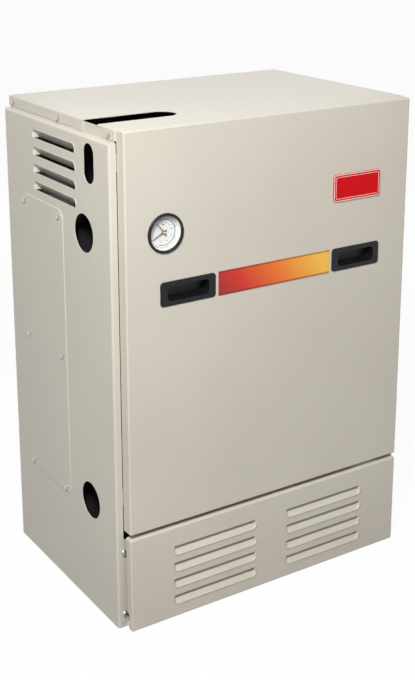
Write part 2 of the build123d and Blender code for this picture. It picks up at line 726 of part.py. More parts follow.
def make_vestibule_panel():
    depths = (VESTIBULE_DEPTH, VESTIBULE_DEPTH + SHEET)
    panel = layer((-pan_wall_x, pan_wall_x), depths, (PAN_WALL, HEIGHT - VESTIBULE_TOP_CLEARANCE))
    ear = side_x - SHEET - FIT_GAP
    panel += layer((-ear, ear), depths, (VESTIBULE_EAR_BOTTOM, VESTIBULE_EAR_TOP))
    through = (depths[0] - 1, depths[1] + 1)
    for z in (RETURN_HEIGHT, upper_port_z):
        panel -= deep_rod(through, (-end_section_x, z), PIPE_RADIUS + WALL_HOLE_MARGIN)
    for x in burner_positions():
        panel -= deep_rod(through, (x, BURNER_HEIGHT), BURNER_MOUTH_RADIUS + WALL_HOLE_MARGIN)
    for x in SENSOR_POSITIONS:
        panel -= deep_rod(through, (x, SENSOR_HEIGHT), CERAMIC_RADIUS + FIT_GAP)
    return panel


def make_insulation():
    inner = block_half_width + INSULATION_SPACE
    outer = inner + INSULATION_THICKNESS
    back = rear_panel_back - SHEET - PAN_SHEET - FIT_GAP
    blanket = layer((-outer, outer), (INSULATION_FRONT, back), (PAN_SHEET, INSULATION_TOP))
    hollow_depths = (INSULATION_FRONT - 1, back - INSULATION_THICKNESS)
    hollow = layer((-inner, inner), hollow_depths, (0, INSULATION_TOP + 1))
    return blanket - hollow


# Door fittings

def make_handle(x):
    frame = extrude(RectangleRounded(*HANDLE_SIZE, HANDLE_FRAME_CORNER), HANDLE_PROUD)
    frame = fillet(frame.faces().sort_by(Axis.Z)[-1].edges(), HANDLE_PROUD * 0.8)
    frame = Pos(x, behind(0), HANDLE_HEIGHT) * OUTWARD * frame
    body = extrude(RectangleRounded(*HANDLE_BODY, HANDLE_BODY_CORNER), HANDLE_BODY_DEPTH)
    pocket = extrude(RectangleRounded(*HANDLE_MOUTH, 7.0), HANDLE_POCKET_DEPTH, taper=HANDLE_TAPER)
    groove_bottom = HANDLE_MOUTH[1] / 2 - HANDLE_GROOVE_RISE / 2
    groove_align = (Align.CENTER, Align.MIN, Align.MIN)
    groove = Box(HANDLE_GROOVE[0], HANDLE_GROOVE_RISE, HANDLE_GROOVE[1], align=groove_align)
    groove = Pos(0, groove_bottom - HANDLE_GROOVE_RISE / 2, HANDLE_GROOVE_DEPTH) * groove
    into = Pos(x, behind(0), HANDLE_HEIGHT) * INWARD
    mouth = Pos(x, behind(-HANDLE_PROUD), HANDLE_HEIGHT) * INWARD
    return frame + into * body - mouth * pocket - mouth * groove


def make_name_plate():
    plate = extrude(RectangleRounded(*NAME_PLATE_SIZE, NAME_PLATE_CORNER), NAME_PLATE_THICKNESS)
    return Pos(0, behind(0), HANDLE_HEIGHT) * OUTWARD * plate


def make_badge():
    badge = extrude(RectangleRounded(*BADGE_SIZE, BADGE_CORNER), BADGE_THICKNESS)
    badge = fillet(badge.faces().sort_by(Axis.Z)[-1].edges(), BADGE_THICKNESS / 2)
    return Pos(BADGE_CENTRE[0], behind(0), BADGE_CENTRE[1]) * OUTWARD * badge


# Gauge

gauge_place = (GAUGE_X, GAUGE_HEIGHT)
case_radius = BEZEL_OPENING - CASE_CLEARANCE
case_bore = case_radius - CASE_WALL
gauge_boss_face = PIPE_DEPTH - PIPE_RADIUS - BOSS_REACH + BOSS_WALL


def make_gauge_bezel():
    bezel = deep_rod((-BEZEL_PROUD, 0), gauge_place, BEZEL_RADIUS)
    bezel = fillet(bezel.faces().sort_by(Axis.Y)[0].edges(), BEZEL_PROUD * 0.7)
    bezel += deep_rod((0, BEZEL_COLLAR_DEPTH), gauge_place, BEZEL_OPENING + BEZEL_COLLAR)
    return bezel - deep_rod((-BEZEL_PROUD - 1, BEZEL_COLLAR_DEPTH + 1), gauge_place, BEZEL_OPENING)


def make_gauge_case():
    dial_back = DIAL_FRONT + DIAL_THICKNESS
    case = deep_rod((CASE_FRONT, CASE_DEPTH), gauge_place, case_radius)
    case -= deep_rod((CASE_FRONT - 1, dial_back), gauge_place, case_bore)
    case -= deep_rod((dial_back, CASE_DEPTH - 2 * CASE_WALL), gauge_place, case_bore - CASE_WALL)
    nut = Pos(GAUGE_X, behind(CASE_DEPTH), GAUGE_HEIGHT) * INWARD
    case += prism_hex(nut * Plane.XY, STEM_NUT_FLATS, STEM_NUT_LENGTH)
    return case + deep_rod((CASE_DEPTH, gauge_boss_face + STEM_ENGAGEMENT), gauge_place, STEM_RADIUS)


def make_gauge_dial():
    dial = deep_rod((DIAL_FRONT, DIAL_FRONT + DIAL_THICKNESS), gauge_place, case_bore - THREAD_CLEARANCE)
    spindle = (GLASS_FRONT + GLASS_THICKNESS + FIT_GAP, DIAL_FRONT)
    return dial + deep_rod(spindle, gauge_place, SPINDLE_RADIUS)


def make_gauge_glass():
    return deep_rod((GLASS_FRONT, GLASS_FRONT + GLASS_THICKNESS), gauge_place, case_bore - THREAD_CLEARANCE)


def make_pointer(front, angle, length):
    blade = make_face(
        Polyline(
            (-POINTER_TAIL, -POINTER_ROOT / 2),
            (length, -POINTER_TIP / 2),
            (length, POINTER_TIP / 2),
            (-POINTER_TAIL, POINTER_ROOT / 2),
            close=True,
        )
    )
    outline = blade + Circle(POINTER_HUB_RADIUS) - Circle(SPINDLE_RADIUS + SPINDLE_CLEARANCE)
    pointer = Rot(0, 0, angle) * extrude(outline, POINTER_THICKNESS)
    return Pos(GAUGE_X, behind(front + POINTER_THICKNESS), GAUGE_HEIGHT) * OUTWARD * pointer


# Cast-iron block

def section_positions():
    return [(i - (SECTION_COUNT - 1) / 2) * SECTION_PITCH for i in range(SECTION_COUNT)]


def make_section(x, end):
    """One casting: end is -1 or 1 for the end sections, whose outer side is closed, and 0 between them."""
    half_pitch = (SECTION_PITCH - SECTION_GAP) / 2
    half = SECTION_THICKNESS / 2
    sides = [side for side in (-1, 1) if side != end]
    depths = (BLOCK_FRONT, BLOCK_FRONT + BLOCK_DEPTH)
    height = (block_bottom, block_top)
    casting = layer((x - half, x + half), depths, height)
    low_x = x - (half_pitch if -1 in sides else half)
    high_x = x + (half_pitch if 1 in sides else half)
    for rim in ((depths[0], depths[0] + BLOCK_RIM), (depths[1] - BLOCK_RIM, depths[1])):
        casting += layer((low_x, high_x), rim, height)
    middle = behind(block_middle)
    ports = (RETURN_HEIGHT, upper_port_z)
    for z in ports:
        casting += rod("x", (low_x, high_x), (middle, z), PORT_DISC_RADIUS)
    for side in sides:
        casting += section_fins(x, side)
    if end == -1:
        for z in ports:
            casting += deep_rod((port_boss_face, BLOCK_FRONT), (x, z), PORT_BOSS_RADIUS)
    if end != 0:
        casting += tie_lugs(x + end * half)
    water = CASTING_WALL
    casting -= layer(
        (x - half + water, x + half - water),
        (depths[0] + water, depths[1] - water),
        (height[0] + water, height[1] - water),
    )
    for z in ports:
        open_x = (x if end == -1 else low_x - 1, x if end == 1 else high_x + 1)
        casting -= rod("x", open_x, (middle, z), PORT_RADIUS)
    if end == -1:
        for z in ports:
            casting -= deep_rod((port_boss_face - 1, BLOCK_FRONT + 2 * water), (x, z), PIPE_BORE)
    if end != 0:
        for depth in tie_rod_depths():
            hole = (x - SECTION_PITCH, x + SECTION_PITCH)
            casting -= rod("x", hole, (behind(depth), tie_rod_z), TIE_ROD_RADIUS + TIE_CLEARANCE)
    return casting


tie_rod_z = block_top + TIE_LUG_HEIGHT / 2


def tie_rod_depths():
    return (BLOCK_FRONT + TIE_ROD_SETBACK, BLOCK_FRONT + BLOCK_DEPTH - TIE_ROD_SETBACK)


def tie_lugs(outer_x):
    inner_x = outer_x - TIE_LUG_REACH if outer_x > 0 else outer_x + TIE_LUG_REACH
    lug_x = sorted((outer_x, inner_x))
    half = TIE_LUG_WIDTH / 2
    lug_z = (block_top - 1, block_top + TIE_LUG_HEIGHT)
    lugs = [layer(lug_x, (depth - half, depth + half), lug_z) for depth in tie_rod_depths()]
    return lugs[0] + lugs[1]


def section_fins(x, side):
    """The pins that stand out into the flueway from one side of a section."""
    face = x + side * SECTION_THICKNESS / 2
    span = sorted((face - side, face + side * FIN_REACH))
    clear = (RETURN_HEIGHT + PORT_DISC_RADIUS, upper_port_z - PORT_DISC_RADIUS)
    row_pitch = (clear[1] - clear[0]) / (FIN_ROWS + 1)
    column_pitch = (BLOCK_DEPTH - 2 * BLOCK_RIM) / (FIN_COLUMNS + 1)
    fins = Part()
    for row in range(1, FIN_ROWS + 1):
        for column in range(1, FIN_COLUMNS + 1):
            depth = BLOCK_FRONT + BLOCK_RIM + column * column_pitch
            fins += rod("x", span, (behind(depth), clear[0] + row * row_pitch), FIN_RADIUS)
    return fins


def make_middle_sections():
    return Compound(children=[make_section(x, 0) for x in section_positions()[1:-1]])


def make_push_nipples():
    """The tapered rings that join the ports of neighbouring sections."""
    joints = [(a + b) / 2 for a, b in zip(section_positions(), section_positions()[1:])]
    rings = []
    for x in joints:
        for z in (RETURN_HEIGHT, upper_port_z):
            span = (x - NIPPLE_LENGTH / 2, x + NIPPLE_LENGTH / 2)
            place = (behind(block_middle), z)
            outer = rod("x", span, place, PORT_RADIUS - NIPPLE_CLEARANCE)
            rings.append(outer - rod("x", span, place, PORT_RADIUS - NIPPLE_WALL))
    return Compound(children=rings)


def make_tie_rods():
    rods = []
    reach = end_section_x + SECTION_THICKNESS / 2
    for depth in tie_rod_depths():
        end = reach + TIE_NUT_LENGTH + TIE_THREAD_END
        bar = rod("x", (-end, end), (behind(depth), tie_rod_z), TIE_ROD_RADIUS)
        for side in (-1, 1):
            seat = Plane(origin=(side * reach, behind(depth), tie_rod_z), z_dir=(side, 0, 0))
            bar += prism_hex(seat, TIE_NUT_FLATS, TIE_NUT_LENGTH)
        rods.append(bar)
    return Compound(children=rods)


# Burner

def burner_positions():
    return [(i - (BURNER_COUNT - 1) / 2) * BURNER_SPACING for i in range(BURNER_COUNT)]


def make_burner_box():
    x = BURNER_BOX_HALF_WIDTH
    sheet = BURNER_SHEET
    depths = (BURNER_BOX_FRONT, BURNER_BOX_FRONT + BURNER_BOX_DEPTH)
    box = layer((-x, x), depths, (PAN_SHEET, block_bottom))
    inner_x_span = (-x + sheet, x - sheet)
    inner_depths = (depths[0] + sheet, depths[1] - sheet)
    box -= layer(inner_x_span, inner_depths, (BURNER_BOX_FLOOR + sheet, block_bottom + 1))
    box -= layer(inner_x_span, inner_depths, (0, BURNER_BOX_FLOOR))
    front_wall = (depths[0] - 1, depths[0] + 2 * sheet)
    for bx in burner_positions():
        box -= deep_rod(front_wall, (bx, BURNER_HEIGHT), BURNER_RADIUS + FIT_GAP)
        rest_depths = (depths[1] - sheet - BURNER_REST, depths[1] - sheet)
        rest_z = (BURNER_BOX_FLOOR + sheet, BURNER_HEIGHT - BURNER_RADIUS)
        box += layer((bx - BURNER_RADIUS / 2, bx + BURNER_RADIUS / 2), rest_depths, rest_z)
    for sx in SENSOR_POSITIONS:
        box -= deep_rod(front_wall, (sx, SENSOR_HEIGHT), CERAMIC_RADIUS + FIT_GAP)
    return box


def make_refractory_board():
    margin = BURNER_SHEET + FIT_GAP
    x = BURNER_BOX_HALF_WIDTH - margin
    floor = BURNER_BOX_FLOOR + BURNER_SHEET
    depths = (BURNER_BOX_FRONT + margin, BURNER_BOX_FRONT + BURNER_BOX_DEPTH - margin - BURNER_REST)
    return layer((-x, x), depths, (floor, floor + BOARD_THICKNESS))


def make_burner_tube(x):
    back = BURNER_BOX_FRONT + BURNER_BOX_DEPTH - BURNER_SHEET - BURNER_END_GAP
    mouth_back = BURNER_MOUTH_FRONT + MOUTH_LENGTH
    tube = deep_rod((mouth_back, back), (x, BURNER_HEIGHT), BURNER_RADIUS)
    flare = Cone(BURNER_MOUTH_RADIUS, BURNER_RADIUS, MOUTH_LENGTH, align=STANDING)
    flare_place = Pos(x, behind(BURNER_MOUTH_FRONT), BURNER_HEIGHT) * INWARD
    tube += flare_place * flare
    tube -= deep_rod((BURNER_MOUTH_FRONT - 1, back - BURNER_SHEET), (x, BURNER_HEIGHT), BURNER_BORE)
    first = BURNER_BOX_FRONT + 3 * FLAME_SLOT_WIDTH
    pitch = (back - first) / (FLAME_SLOTS + 1)
    for i in range(1, FLAME_SLOTS + 1):
        depth = first + i * pitch
        slot_depths = (depth - FLAME_SLOT_WIDTH / 2, depth + FLAME_SLOT_WIDTH / 2)
        slot_x = (x - BURNER_RADIUS / 2, x + BURNER_RADIUS / 2)
        tube -= layer(slot_x, slot_depths, (BURNER_HEIGHT, BURNER_HEIGHT + 2 * BURNER_RADIUS))
    return tube


def make_burner_tubes():
    return Compound(children=[make_burner_tube(x) for x in burner_positions()])


def make_gas_manifold():
    y = behind(PIPE_DEPTH)
    points = [(MANIFOLD_LEFT, y, BURNER_HEIGHT), (VALVE_X, y, BURNER_HEIGHT), (VALVE_X, y, valve_bottom)]
    inner_points = [(MANIFOLD_LEFT + MANIFOLD_END_WALL, y, BURNER_HEIGHT)] + points[1:]
    manifold = pipe(points, MANIFOLD_BEND, MANIFOLD_RADIUS)
    foot_height, foot_thickness = BRACKET_FOOT
    bracket_centre = max(burner_positions()) + BURNER_MOUTH_RADIUS + BRACKET_WIDTH
    for x in (-bracket_centre, bracket_centre):
        width = (x - BRACKET_WIDTH / 2, x + BRACKET_WIDTH / 2)
        web_z = (BURNER_HEIGHT - MANIFOLD_RADIUS / 2, BURNER_HEIGHT + MANIFOLD_RADIUS / 2)
        foot_z = (BURNER_HEIGHT - foot_height / 2, BURNER_HEIGHT + foot_height / 2)
        manifold += layer(width, (PIPE_DEPTH, VESTIBULE_DEPTH), web_z)
        manifold += layer(width, (VESTIBULE_DEPTH - foot_thickness, VESTIBULE_DEPTH), foot_z)
    manifold -= pipe(inner_points, MANIFOLD_BEND, MANIFOLD_BORE)
    for x in burner_positions():
        hole = (PIPE_DEPTH, PIPE_DEPTH + 2 * MANIFOLD_RADIUS)
        manifold -= deep_rod(hole, (x, BURNER_HEIGHT), ORIFICE_RADIUS + THREAD_CLEARANCE)
    return manifold


def make_burner_orifices():
    spuds = []
    start = PIPE_DEPTH + MANIFOLD_RADIUS - ORIFICE_ENGAGEMENT
    for x in burner_positions():
        spud = deep_rod((start, start + ORIFICE_REACH), (x, BURNER_HEIGHT), ORIFICE_RADIUS)
        spuds.append(spud - deep_rod((start - 1, start + ORIFICE_REACH + 1), (x, BURNER_HEIGHT), ORIFICE_BORE))
    return Compound(children=spuds)


def make_igniter(x):
    back = CERAMIC_FRONT + CERAMIC_LENGTH
    probe = deep_rod((CERAMIC_FRONT, back), (x, SENSOR_HEIGHT), CERAMIC_RADIUS)
    probe += deep_rod((back, back + ELECTRODE_LENGTH), (x, SENSOR_HEIGHT), ELECTRODE_RADIUS)
    width, height, thickness = SENSOR_PLATE
    plate_depths = (VESTIBULE_DEPTH - thickness, VESTIBULE_DEPTH)
    plate_z = (SENSOR_HEIGHT - height / 2, SENSOR_HEIGHT + height / 2)
    return probe + layer((x - width / 2, x + width / 2), plate_depths, plate_z)


def make_igniter_and_flame_sensor():
    return Compound(children=[make_igniter(x) for x in SENSOR_POSITIONS])


rollout_place = (ROLLOUT_X, ROLLOUT_HEIGHT)
rollout_front = VESTIBULE_DEPTH - ROLLOUT_LENGTH


def make_rollout_switch():
    body = deep_rod((rollout_front, VESTIBULE_DEPTH), rollout_place, ROLLOUT_RADIUS)
    bore_depth = rollout_front + RESET_LENGTH - RESET_PROUD + RESET_BORE_ROOM
    return body - deep_rod((rollout_front - 1, bore_depth), rollout_place, RESET_RADIUS + RESET_CLEARANCE)


def make_rollout_reset_button():
    depths = (rollout_front - RESET_PROUD, rollout_front - RESET_PROUD + RESET_LENGTH)
    button = deep_rod(depths, rollout_place, RESET_RADIUS)
    return fillet(button.faces().sort_by(Axis.Y)[0].edges(), RESET_RADIUS / 3)


# Gas valve

def make_gas_valve_body():
    x = (VALVE_X - VALVE_WIDTH / 2, VALVE_X + VALVE_WIDTH / 2)
    depths = (PIPE_DEPTH - VALVE_DEPTH / 2, PIPE_DEPTH + VALVE_DEPTH / 2)
    body = layer(x, depths, (valve_bottom, valve_top))
    body = fillet(body.edges().filter_by(Axis.Z), VALVE_EDGE)
    y = behind(PIPE_DEPTH)
    body += rod("x", (x[1] - 1, GAS_END_X), (y, RETURN_HEIGHT), GAS_HUB_RADIUS)
    body -= rod("x", (GAS_END_X - GAS_THREAD_LENGTH, GAS_END_X + 1), (y, RETURN_HEIGHT), GAS_THREAD_RADIUS)
    stem = (valve_top - KNOB_STEM_HEIGHT, valve_top + 1)
    return body - rod("z", stem, (VALVE_X, y), KNOB_STEM_RADIUS + KNOB_CLEARANCE)


def make_gas_valve_knob():
    y = behind(PIPE_DEPTH)
    bottom = valve_top + FIT_GAP
    knob = rod("z", (bottom, bottom + KNOB_HEIGHT), (VALVE_X, y), KNOB_RADIUS)
    knob = fillet(knob.faces().sort_by(Axis.Z)[-1].edges(), KNOB_TOP_ROUNDING)
    for i in range(KNOB_RIBS):
        turn = Pos(VALVE_X, y, bottom + KNOB_RIB_START) * Rot(0, 0, i * 360 / KNOB_RIBS)
        notch = turn * Pos(KNOB_RADIUS + KNOB_RIB_OUTSET, 0, 0)
        knob -= notch * Cylinder(KNOB_RIB_RADIUS, KNOB_HEIGHT, align=STANDING)
    mark = (bottom + KNOB_HEIGHT - 1, bottom + KNOB_HEIGHT + 1)
    knob -= block((VALVE_X - 1, VALVE_X + 1), (y - KNOB_RADIUS, y - KNOB_RADIUS / 3), mark)
    return knob + rod("z", (valve_top - KNOB_STEM_HEIGHT + 1, bottom), (VALVE_X, y), KNOB_STEM_RADIUS)


# Flue

def collector_form(grow):
    """The collector's hood, grown outward from its inner form."""
    x = COLLECTOR_HALF_WIDTH - COLLECTOR_SHEET + grow
    half_depth = BLOCK_DEPTH / 2 - COLLECTOR_INSET - COLLECTOR_SHEET + grow
    middle = behind(block_middle)
    shoulder = block_top + COLLECTOR_WALL_HEIGHT
    hood = block((-x, x), (middle - half_depth, middle + half_depth), (block_top, shoulder))
    neck = COLLECTOR_NECK_HALF - COLLECTOR_SHEET + grow
    lower = Pos(0, middle, shoulder) * Rectangle(2 * x, 2 * half_depth)
    upper = Pos(INDUCER_X, middle, collector_top - COLLECTOR_SHEET + grow) * Rectangle(2 * neck, 2 * neck)
    return hood + loft([lower, upper])


def make_flue_collector():
    middle = behind(block_middle)
    hood = collector_form(COLLECTOR_SHEET)
    hood += rod("z", (collector_top - 1, inducer_bottom), (INDUCER_X, middle), COLLECTOR_NECK_RADIUS)
    hood -= collector_form(0)
    bore = COLLECTOR_NECK_RADIUS - COLLECTOR_SHEET
    return hood - rod("z", (collector_top - 5, inducer_bottom + 1), (INDUCER_X, middle), bore)


def inducer_form(inset):
    middle = behind(block_middle)
    z = (inducer_bottom + inset, inducer_top - inset)
    scroll = rod("z", z, (INDUCER_X, middle), INDUCER_RADIUS - inset)
    duct_x = (INDUCER_X + INDUCER_DUCT_INNER + inset, INDUCER_X + INDUCER_RADIUS - inset)
    duct_end = duct_back + (1 if inset else 0)
    return scroll + layer(duct_x, (block_middle, duct_end), z)


def make_inducer_housing():
    middle = behind(block_middle)
    housing = inducer_form(0) - inducer_form(INDUCER_WALL)
    inlet = (inducer_bottom - 1, inducer_bottom + 2 * INDUCER_WALL)
    housing -= rod("z", inlet, (INDUCER_X, middle), COLLECTOR_NECK_RADIUS - COLLECTOR_SHEET)
    shaft_hole = (inducer_top - 2 * INDUCER_WALL, inducer_top + 1)
    return housing - rod("z", shaft_hole, (INDUCER_X, middle), MOTOR_SHAFT_RADIUS + 1.0)


def make_inducer_wheel():
    middle = behind(block_middle)
    centre = Pos(INDUCER_X, middle, 0)
    top = flue_z + WHEEL_HEIGHT / 2
    bottom = flue_z - WHEEL_HEIGHT / 2
    wheel = rod("z", (top - WHEEL_SHEET, top), (INDUCER_X, middle), WHEEL_RADIUS)
    rim = rod("z", (bottom, bottom + WHEEL_SHEET), (INDUCER_X, middle), WHEEL_RADIUS)
    rim_z = (bottom, bottom + WHEEL_SHEET)
    wheel += rim - rod("z", rim_z, (INDUCER_X, middle), WHEEL_RADIUS - WHEEL_BLADE_DEPTH)
    blade = Pos(WHEEL_RADIUS - WHEEL_BLADE_DEPTH / 2, 0, flue_z) * Rot(0, 0, 35)
    for i in range(WHEEL_BLADES):
        turn = centre * Rot(0, 0, i * 360 / WHEEL_BLADES) * blade
        wheel += turn * Box(WHEEL_BLADE_DEPTH, WHEEL_BLADE_SHEET, WHEEL_HEIGHT)
    wheel &= rod("z", (bottom, top), (INDUCER_X, middle), WHEEL_RADIUS)
    shaft_z = (top - WHEEL_SHEET - WHEEL_HUB_DROP, inducer_top + SHAFT_ENGAGEMENT)
    return wheel + rod("z", shaft_z, (INDUCER_X, middle), MOTOR_SHAFT_RADIUS)


def make_inducer_motor():
    middle = behind(block_middle)
    top = inducer_top + INDUCER_MOTOR_HEIGHT
    motor = rod("z", (inducer_top, top), (INDUCER_X, middle), INDUCER_MOTOR_RADIUS)
    motor = fillet(motor.faces().sort_by(Axis.Z)[-1].edges(), MOTOR_ROUNDING)
    plate_z = (inducer_top, inducer_top + INDUCER_FLANGE_THICKNESS)
    plate = rod("z", plate_z, (INDUCER_X, middle), INDUCER_MOTOR_RADIUS + INDUCER_FLANGE_OUTSET)
    bore = (inducer_top - 1, inducer_top + SHAFT_ENGAGEMENT + SHAFT_END_ROOM)
    return motor + plate - rod("z", bore, (INDUCER_X, middle), MOTOR_SHAFT_RADIUS + SHAFT_CLEARANCE)


def make_flue_collar():
    half = COLLAR_PLATE / 2
    plate_depths = (duct_back, duct_back + COLLAR_PLATE_THICKNESS)
    plate = layer((flue_x - half, flue_x + half), plate_depths, (flue_z - half, flue_z + half))
    collar = plate + deep_rod((duct_back, jacket_depth), (flue_x, flue_z), FLUE_RADIUS - COLLAR_STEP)
    collar += deep_rod((jacket_depth, jacket_depth + COLLAR_REACH), (flue_x, flue_z), FLUE_RADIUS)
    bore = (duct_back - 1, jacket_depth + COLLAR_REACH + 1)
    duct_half = (INDUCER_RADIUS - INDUCER_DUCT_INNER) / 2 - INDUCER_WALL
    return collar - deep_rod(bore, (flue_x, flue_z), min(FLUE_RADIUS - FLUE_WALL, duct_half))


# Hydronic pipes

def tapping_hub(z):
    y = behind(PIPE_DEPTH)
    return rod("x", (-TAPPING_END_X, -TAPPING_END_X + HUB_LENGTH), (y, z), HUB_RADIUS)


def tapping_bore(z):
    y = behind(PIPE_DEPTH)
    return rod("x", (-TAPPING_END_X - 1, -TAPPING_END_X + TAPPING_DEPTH), (y, z), TAPPING_RADIUS)


def make_supply_riser():
    x = -end_section_x
    y = behind(PIPE_DEPTH)
    points = [(x, behind(port_boss_face), upper_port_z), (x, y, upper_port_z), (x, y, pump_bottom)]
    riser = pipe(points, PIPE_BEND, PIPE_RADIUS)
    riser += rod("z", (pump_bottom - FLANGE_THICKNESS, pump_bottom), (x, y), FLANGE_RADIUS)
    return riser - pipe(points, PIPE_BEND, PIPE_BORE)


def make_circulator_volute():
    x = -end_section_x
    y = behind(PIPE_DEPTH)
    body = rod("x", (x - VOLUTE_HALF_WIDTH, x + VOLUTE_HALF_WIDTH), (y, pump_z), VOLUTE_RADIUS)
    body += rod("z", (pump_bottom, pump_top), (x, y), PIPE_RADIUS)
    body += rod("z", (pump_bottom, pump_bottom + FLANGE_THICKNESS), (x, y), FLANGE_RADIUS)
    body += rod("z", (pump_top - FLANGE_THICKNESS, pump_top), (x, y), FLANGE_RADIUS)
    body -= rod("z", (pump_bottom - 1, pump_z - IMPELLER_RADIUS), (x, y), PIPE_BORE)
    body -= rod("z", (pump_z + IMPELLER_RADIUS, pump_top + 1), (x, y), PIPE_BORE)
    cavity = (x - VOLUTE_HALF_WIDTH + VOLUTE_WALL, x + VOLUTE_HALF_WIDTH + 1)
    return body - rod("x", cavity, (y, pump_z), IMPELLER_RADIUS + IMPELLER_GAP)


def make_circulator_impeller():
    x = -end_section_x
    y = behind(PIPE_DEPTH)
    disc = rod("x", (x - IMPELLER_WIDTH / 2, x + IMPELLER_WIDTH / 2), (y, pump_z), IMPELLER_RADIUS)
    disc -= rod("x", (x - IMPELLER_WIDTH / 2, x - IMPELLER_WIDTH / 4), (y, pump_z), IMPELLER_RADIUS / 3)
    shaft = (x + IMPELLER_WIDTH / 2, x + VOLUTE_HALF_WIDTH + SHAFT_ENGAGEMENT)
    return disc + rod("x", shaft, (y, pump_z), MOTOR_SHAFT_RADIUS)


def make_circulator_motor():
    face = -end_section_x + VOLUTE_HALF_WIDTH
    y = behind(PIPE_DEPTH)
    motor = rod("x", (face, face + PUMP_MOTOR_LENGTH), (y, pump_z), PUMP_MOTOR_RADIUS)
    motor = fillet(motor.faces().sort_by(Axis.X)[-1].edges(), MOTOR_ROUNDING)
    motor += rod("x", (face, face + VOLUTE_WALL), (y, pump_z), VOLUTE_RADIUS)
    bore = (face - 1, face + SHAFT_ENGAGEMENT + SHAFT_END_ROOM)
    return motor - rod("x", bore, (y, pump_z), MOTOR_SHAFT_RADIUS + SHAFT_CLEARANCE)


def make_supply_pipe():
    x = -end_section_x
    y = behind(PIPE_DEPTH)
    points = [(x, y, pump_top), (x, y, SUPPLY_HEIGHT), (-TAPPING_END_X, y, SUPPLY_HEIGHT)]
    supply = pipe(points, ELBOW_BEND, PIPE_RADIUS) + tapping_hub(SUPPLY_HEIGHT)
    boss_radius = STEM_RADIUS + BOSS_WALL
    supply += deep_rod((gauge_boss_face, PIPE_DEPTH), gauge_place, boss_radius)
    boss = (SUPPLY_HEIGHT, relief_base)
    supply += rod("z", boss, (GAUGE_X, y), RELIEF_NIPPLE_RADIUS + BOSS_WALL)
    supply -= pipe(points, ELBOW_BEND, PIPE_BORE)
    stem_hole = (gauge_boss_face - 1, gauge_boss_face + STEM_ENGAGEMENT + 1)
    supply -= deep_rod(stem_hole, gauge_place, STEM_RADIUS + THREAD_CLEARANCE)
    nipple_hole = (SUPPLY_HEIGHT, relief_base + 1)
    supply -= rod("z", nipple_hole, (GAUGE_X, y), RELIEF_NIPPLE_RADIUS + THREAD_CLEARANCE)
    return supply - tapping_bore(SUPPLY_HEIGHT)


def make_return_pipe():
    x = -end_section_x
    y = behind(PIPE_DEPTH)
    z = RETURN_HEIGHT
    points = [(-TAPPING_END_X, y, z), (x, y, z), (x, behind(port_boss_face), z)]
    line = pipe(points, PIPE_BEND, PIPE_RADIUS) + tapping_hub(z)
    boss_face = PIPE_DEPTH - PIPE_RADIUS - BOSS_REACH / 2
    line += deep_rod((boss_face, PIPE_DEPTH), (GAUGE_X, z), DRAIN_RADIUS + BOSS_WALL)
    line -= pipe(points, PIPE_BEND, PIPE_BORE)
    line -= deep_rod((boss_face - 1, PIPE_DEPTH), (GAUGE_X, z), DRAIN_RADIUS + THREAD_CLEARANCE)
    return line - tapping_bore(z)


def make_relief_valve_body():
    y = behind(PIPE_DEPTH)
    body = rod("z", (relief_base, relief_top), (GAUGE_X, y), RELIEF_RADIUS)
    body += rod("z", (relief_base - RELIEF_NIPPLE_LENGTH, relief_base), (GAUGE_X, y), RELIEF_NIPPLE_RADIUS)
    outlet_z = relief_base + RELIEF_HEIGHT / 3
    body += rod("x", (GAUGE_X, GAUGE_X + RELIEF_OUTLET_REACH), (y, outlet_z), RELIEF_OUTLET_RADIUS)
    outlet = (GAUGE_X + RELIEF_RADIUS, GAUGE_X + RELIEF_OUTLET_REACH + 1)
    body -= rod("x", outlet, (y, outlet_z), RELIEF_OUTLET_RADIUS - RELIEF_OUTLET_WALL)
    cap_top = relief_top + RELIEF_CAP_HEIGHT
    body += rod("z", (relief_top, cap_top), (GAUGE_X, y), RELIEF_CAP_RADIUS)
    fork = LEVER_WIDTH / 2 + FIT_GAP
    slot_z = (lever_pin_z - LEVER_EAR - LEVER_THICKNESS, cap_top + 1)
    body -= block((GAUGE_X - 2 * RELIEF_RADIUS, GAUGE_X + 2 * RELIEF_RADIUS), (y - fork, y + fork), slot_z)
    pin = (y - RELIEF_CAP_RADIUS + 1, y + RELIEF_CAP_RADIUS - 1)
    return body + rod("y", pin, (GAUGE_X, lever_pin_z), LEVER_PIN_RADIUS)


def make_relief_lever():
    y = behind(PIPE_DEPTH)
    half = LEVER_WIDTH / 2
    ear = rod("y", (y - half, y + half), (GAUGE_X, lever_pin_z), LEVER_EAR + LEVER_EAR_RIM)
    handle_base = lever_pin_z + LEVER_BLADE_RISE
    handle_z = (handle_base, handle_base + LEVER_THICKNESS)
    lever = ear + block((GAUGE_X, GAUGE_X + LEVER_LENGTH), (y - half, y + half), handle_z)
    eye = (y - half - 1, y + half + 1)
    return lever - rod("y", eye, (GAUGE_X, lever_pin_z), LEVER_PIN_RADIUS + LEVER_CLEARANCE)


def make_drain_valve_body():
    place = (GAUGE_X, RETURN_HEIGHT)
    back = PIPE_DEPTH - PIPE_RADIUS + 1.0
    body = deep_rod((DRAIN_FRONT, back), place, DRAIN_RADIUS)
    spout = (RETURN_HEIGHT - DRAIN_SPOUT_LENGTH, RETURN_HEIGHT)
    body += rod("z", spout, (GAUGE_X, behind(DRAIN_SPOUT_DEPTH)), DRAIN_SPOUT_RADIUS)
    bore = (spout[0] - 1, RETURN_HEIGHT - DRAIN_RADIUS)
    body -= rod("z", bore, (GAUGE_X, behind(DRAIN_SPOUT_DEPTH)), DRAIN_SPOUT_RADIUS - DRAIN_SPOUT_WALL)
    stem = (DRAIN_FRONT - 1, DRAIN_HANDLE_FRONT + DRAIN_STEM_DEPTH)
    return body - deep_rod(stem, place, DRAIN_STEM_RADIUS + SHAFT_CLEARANCE)


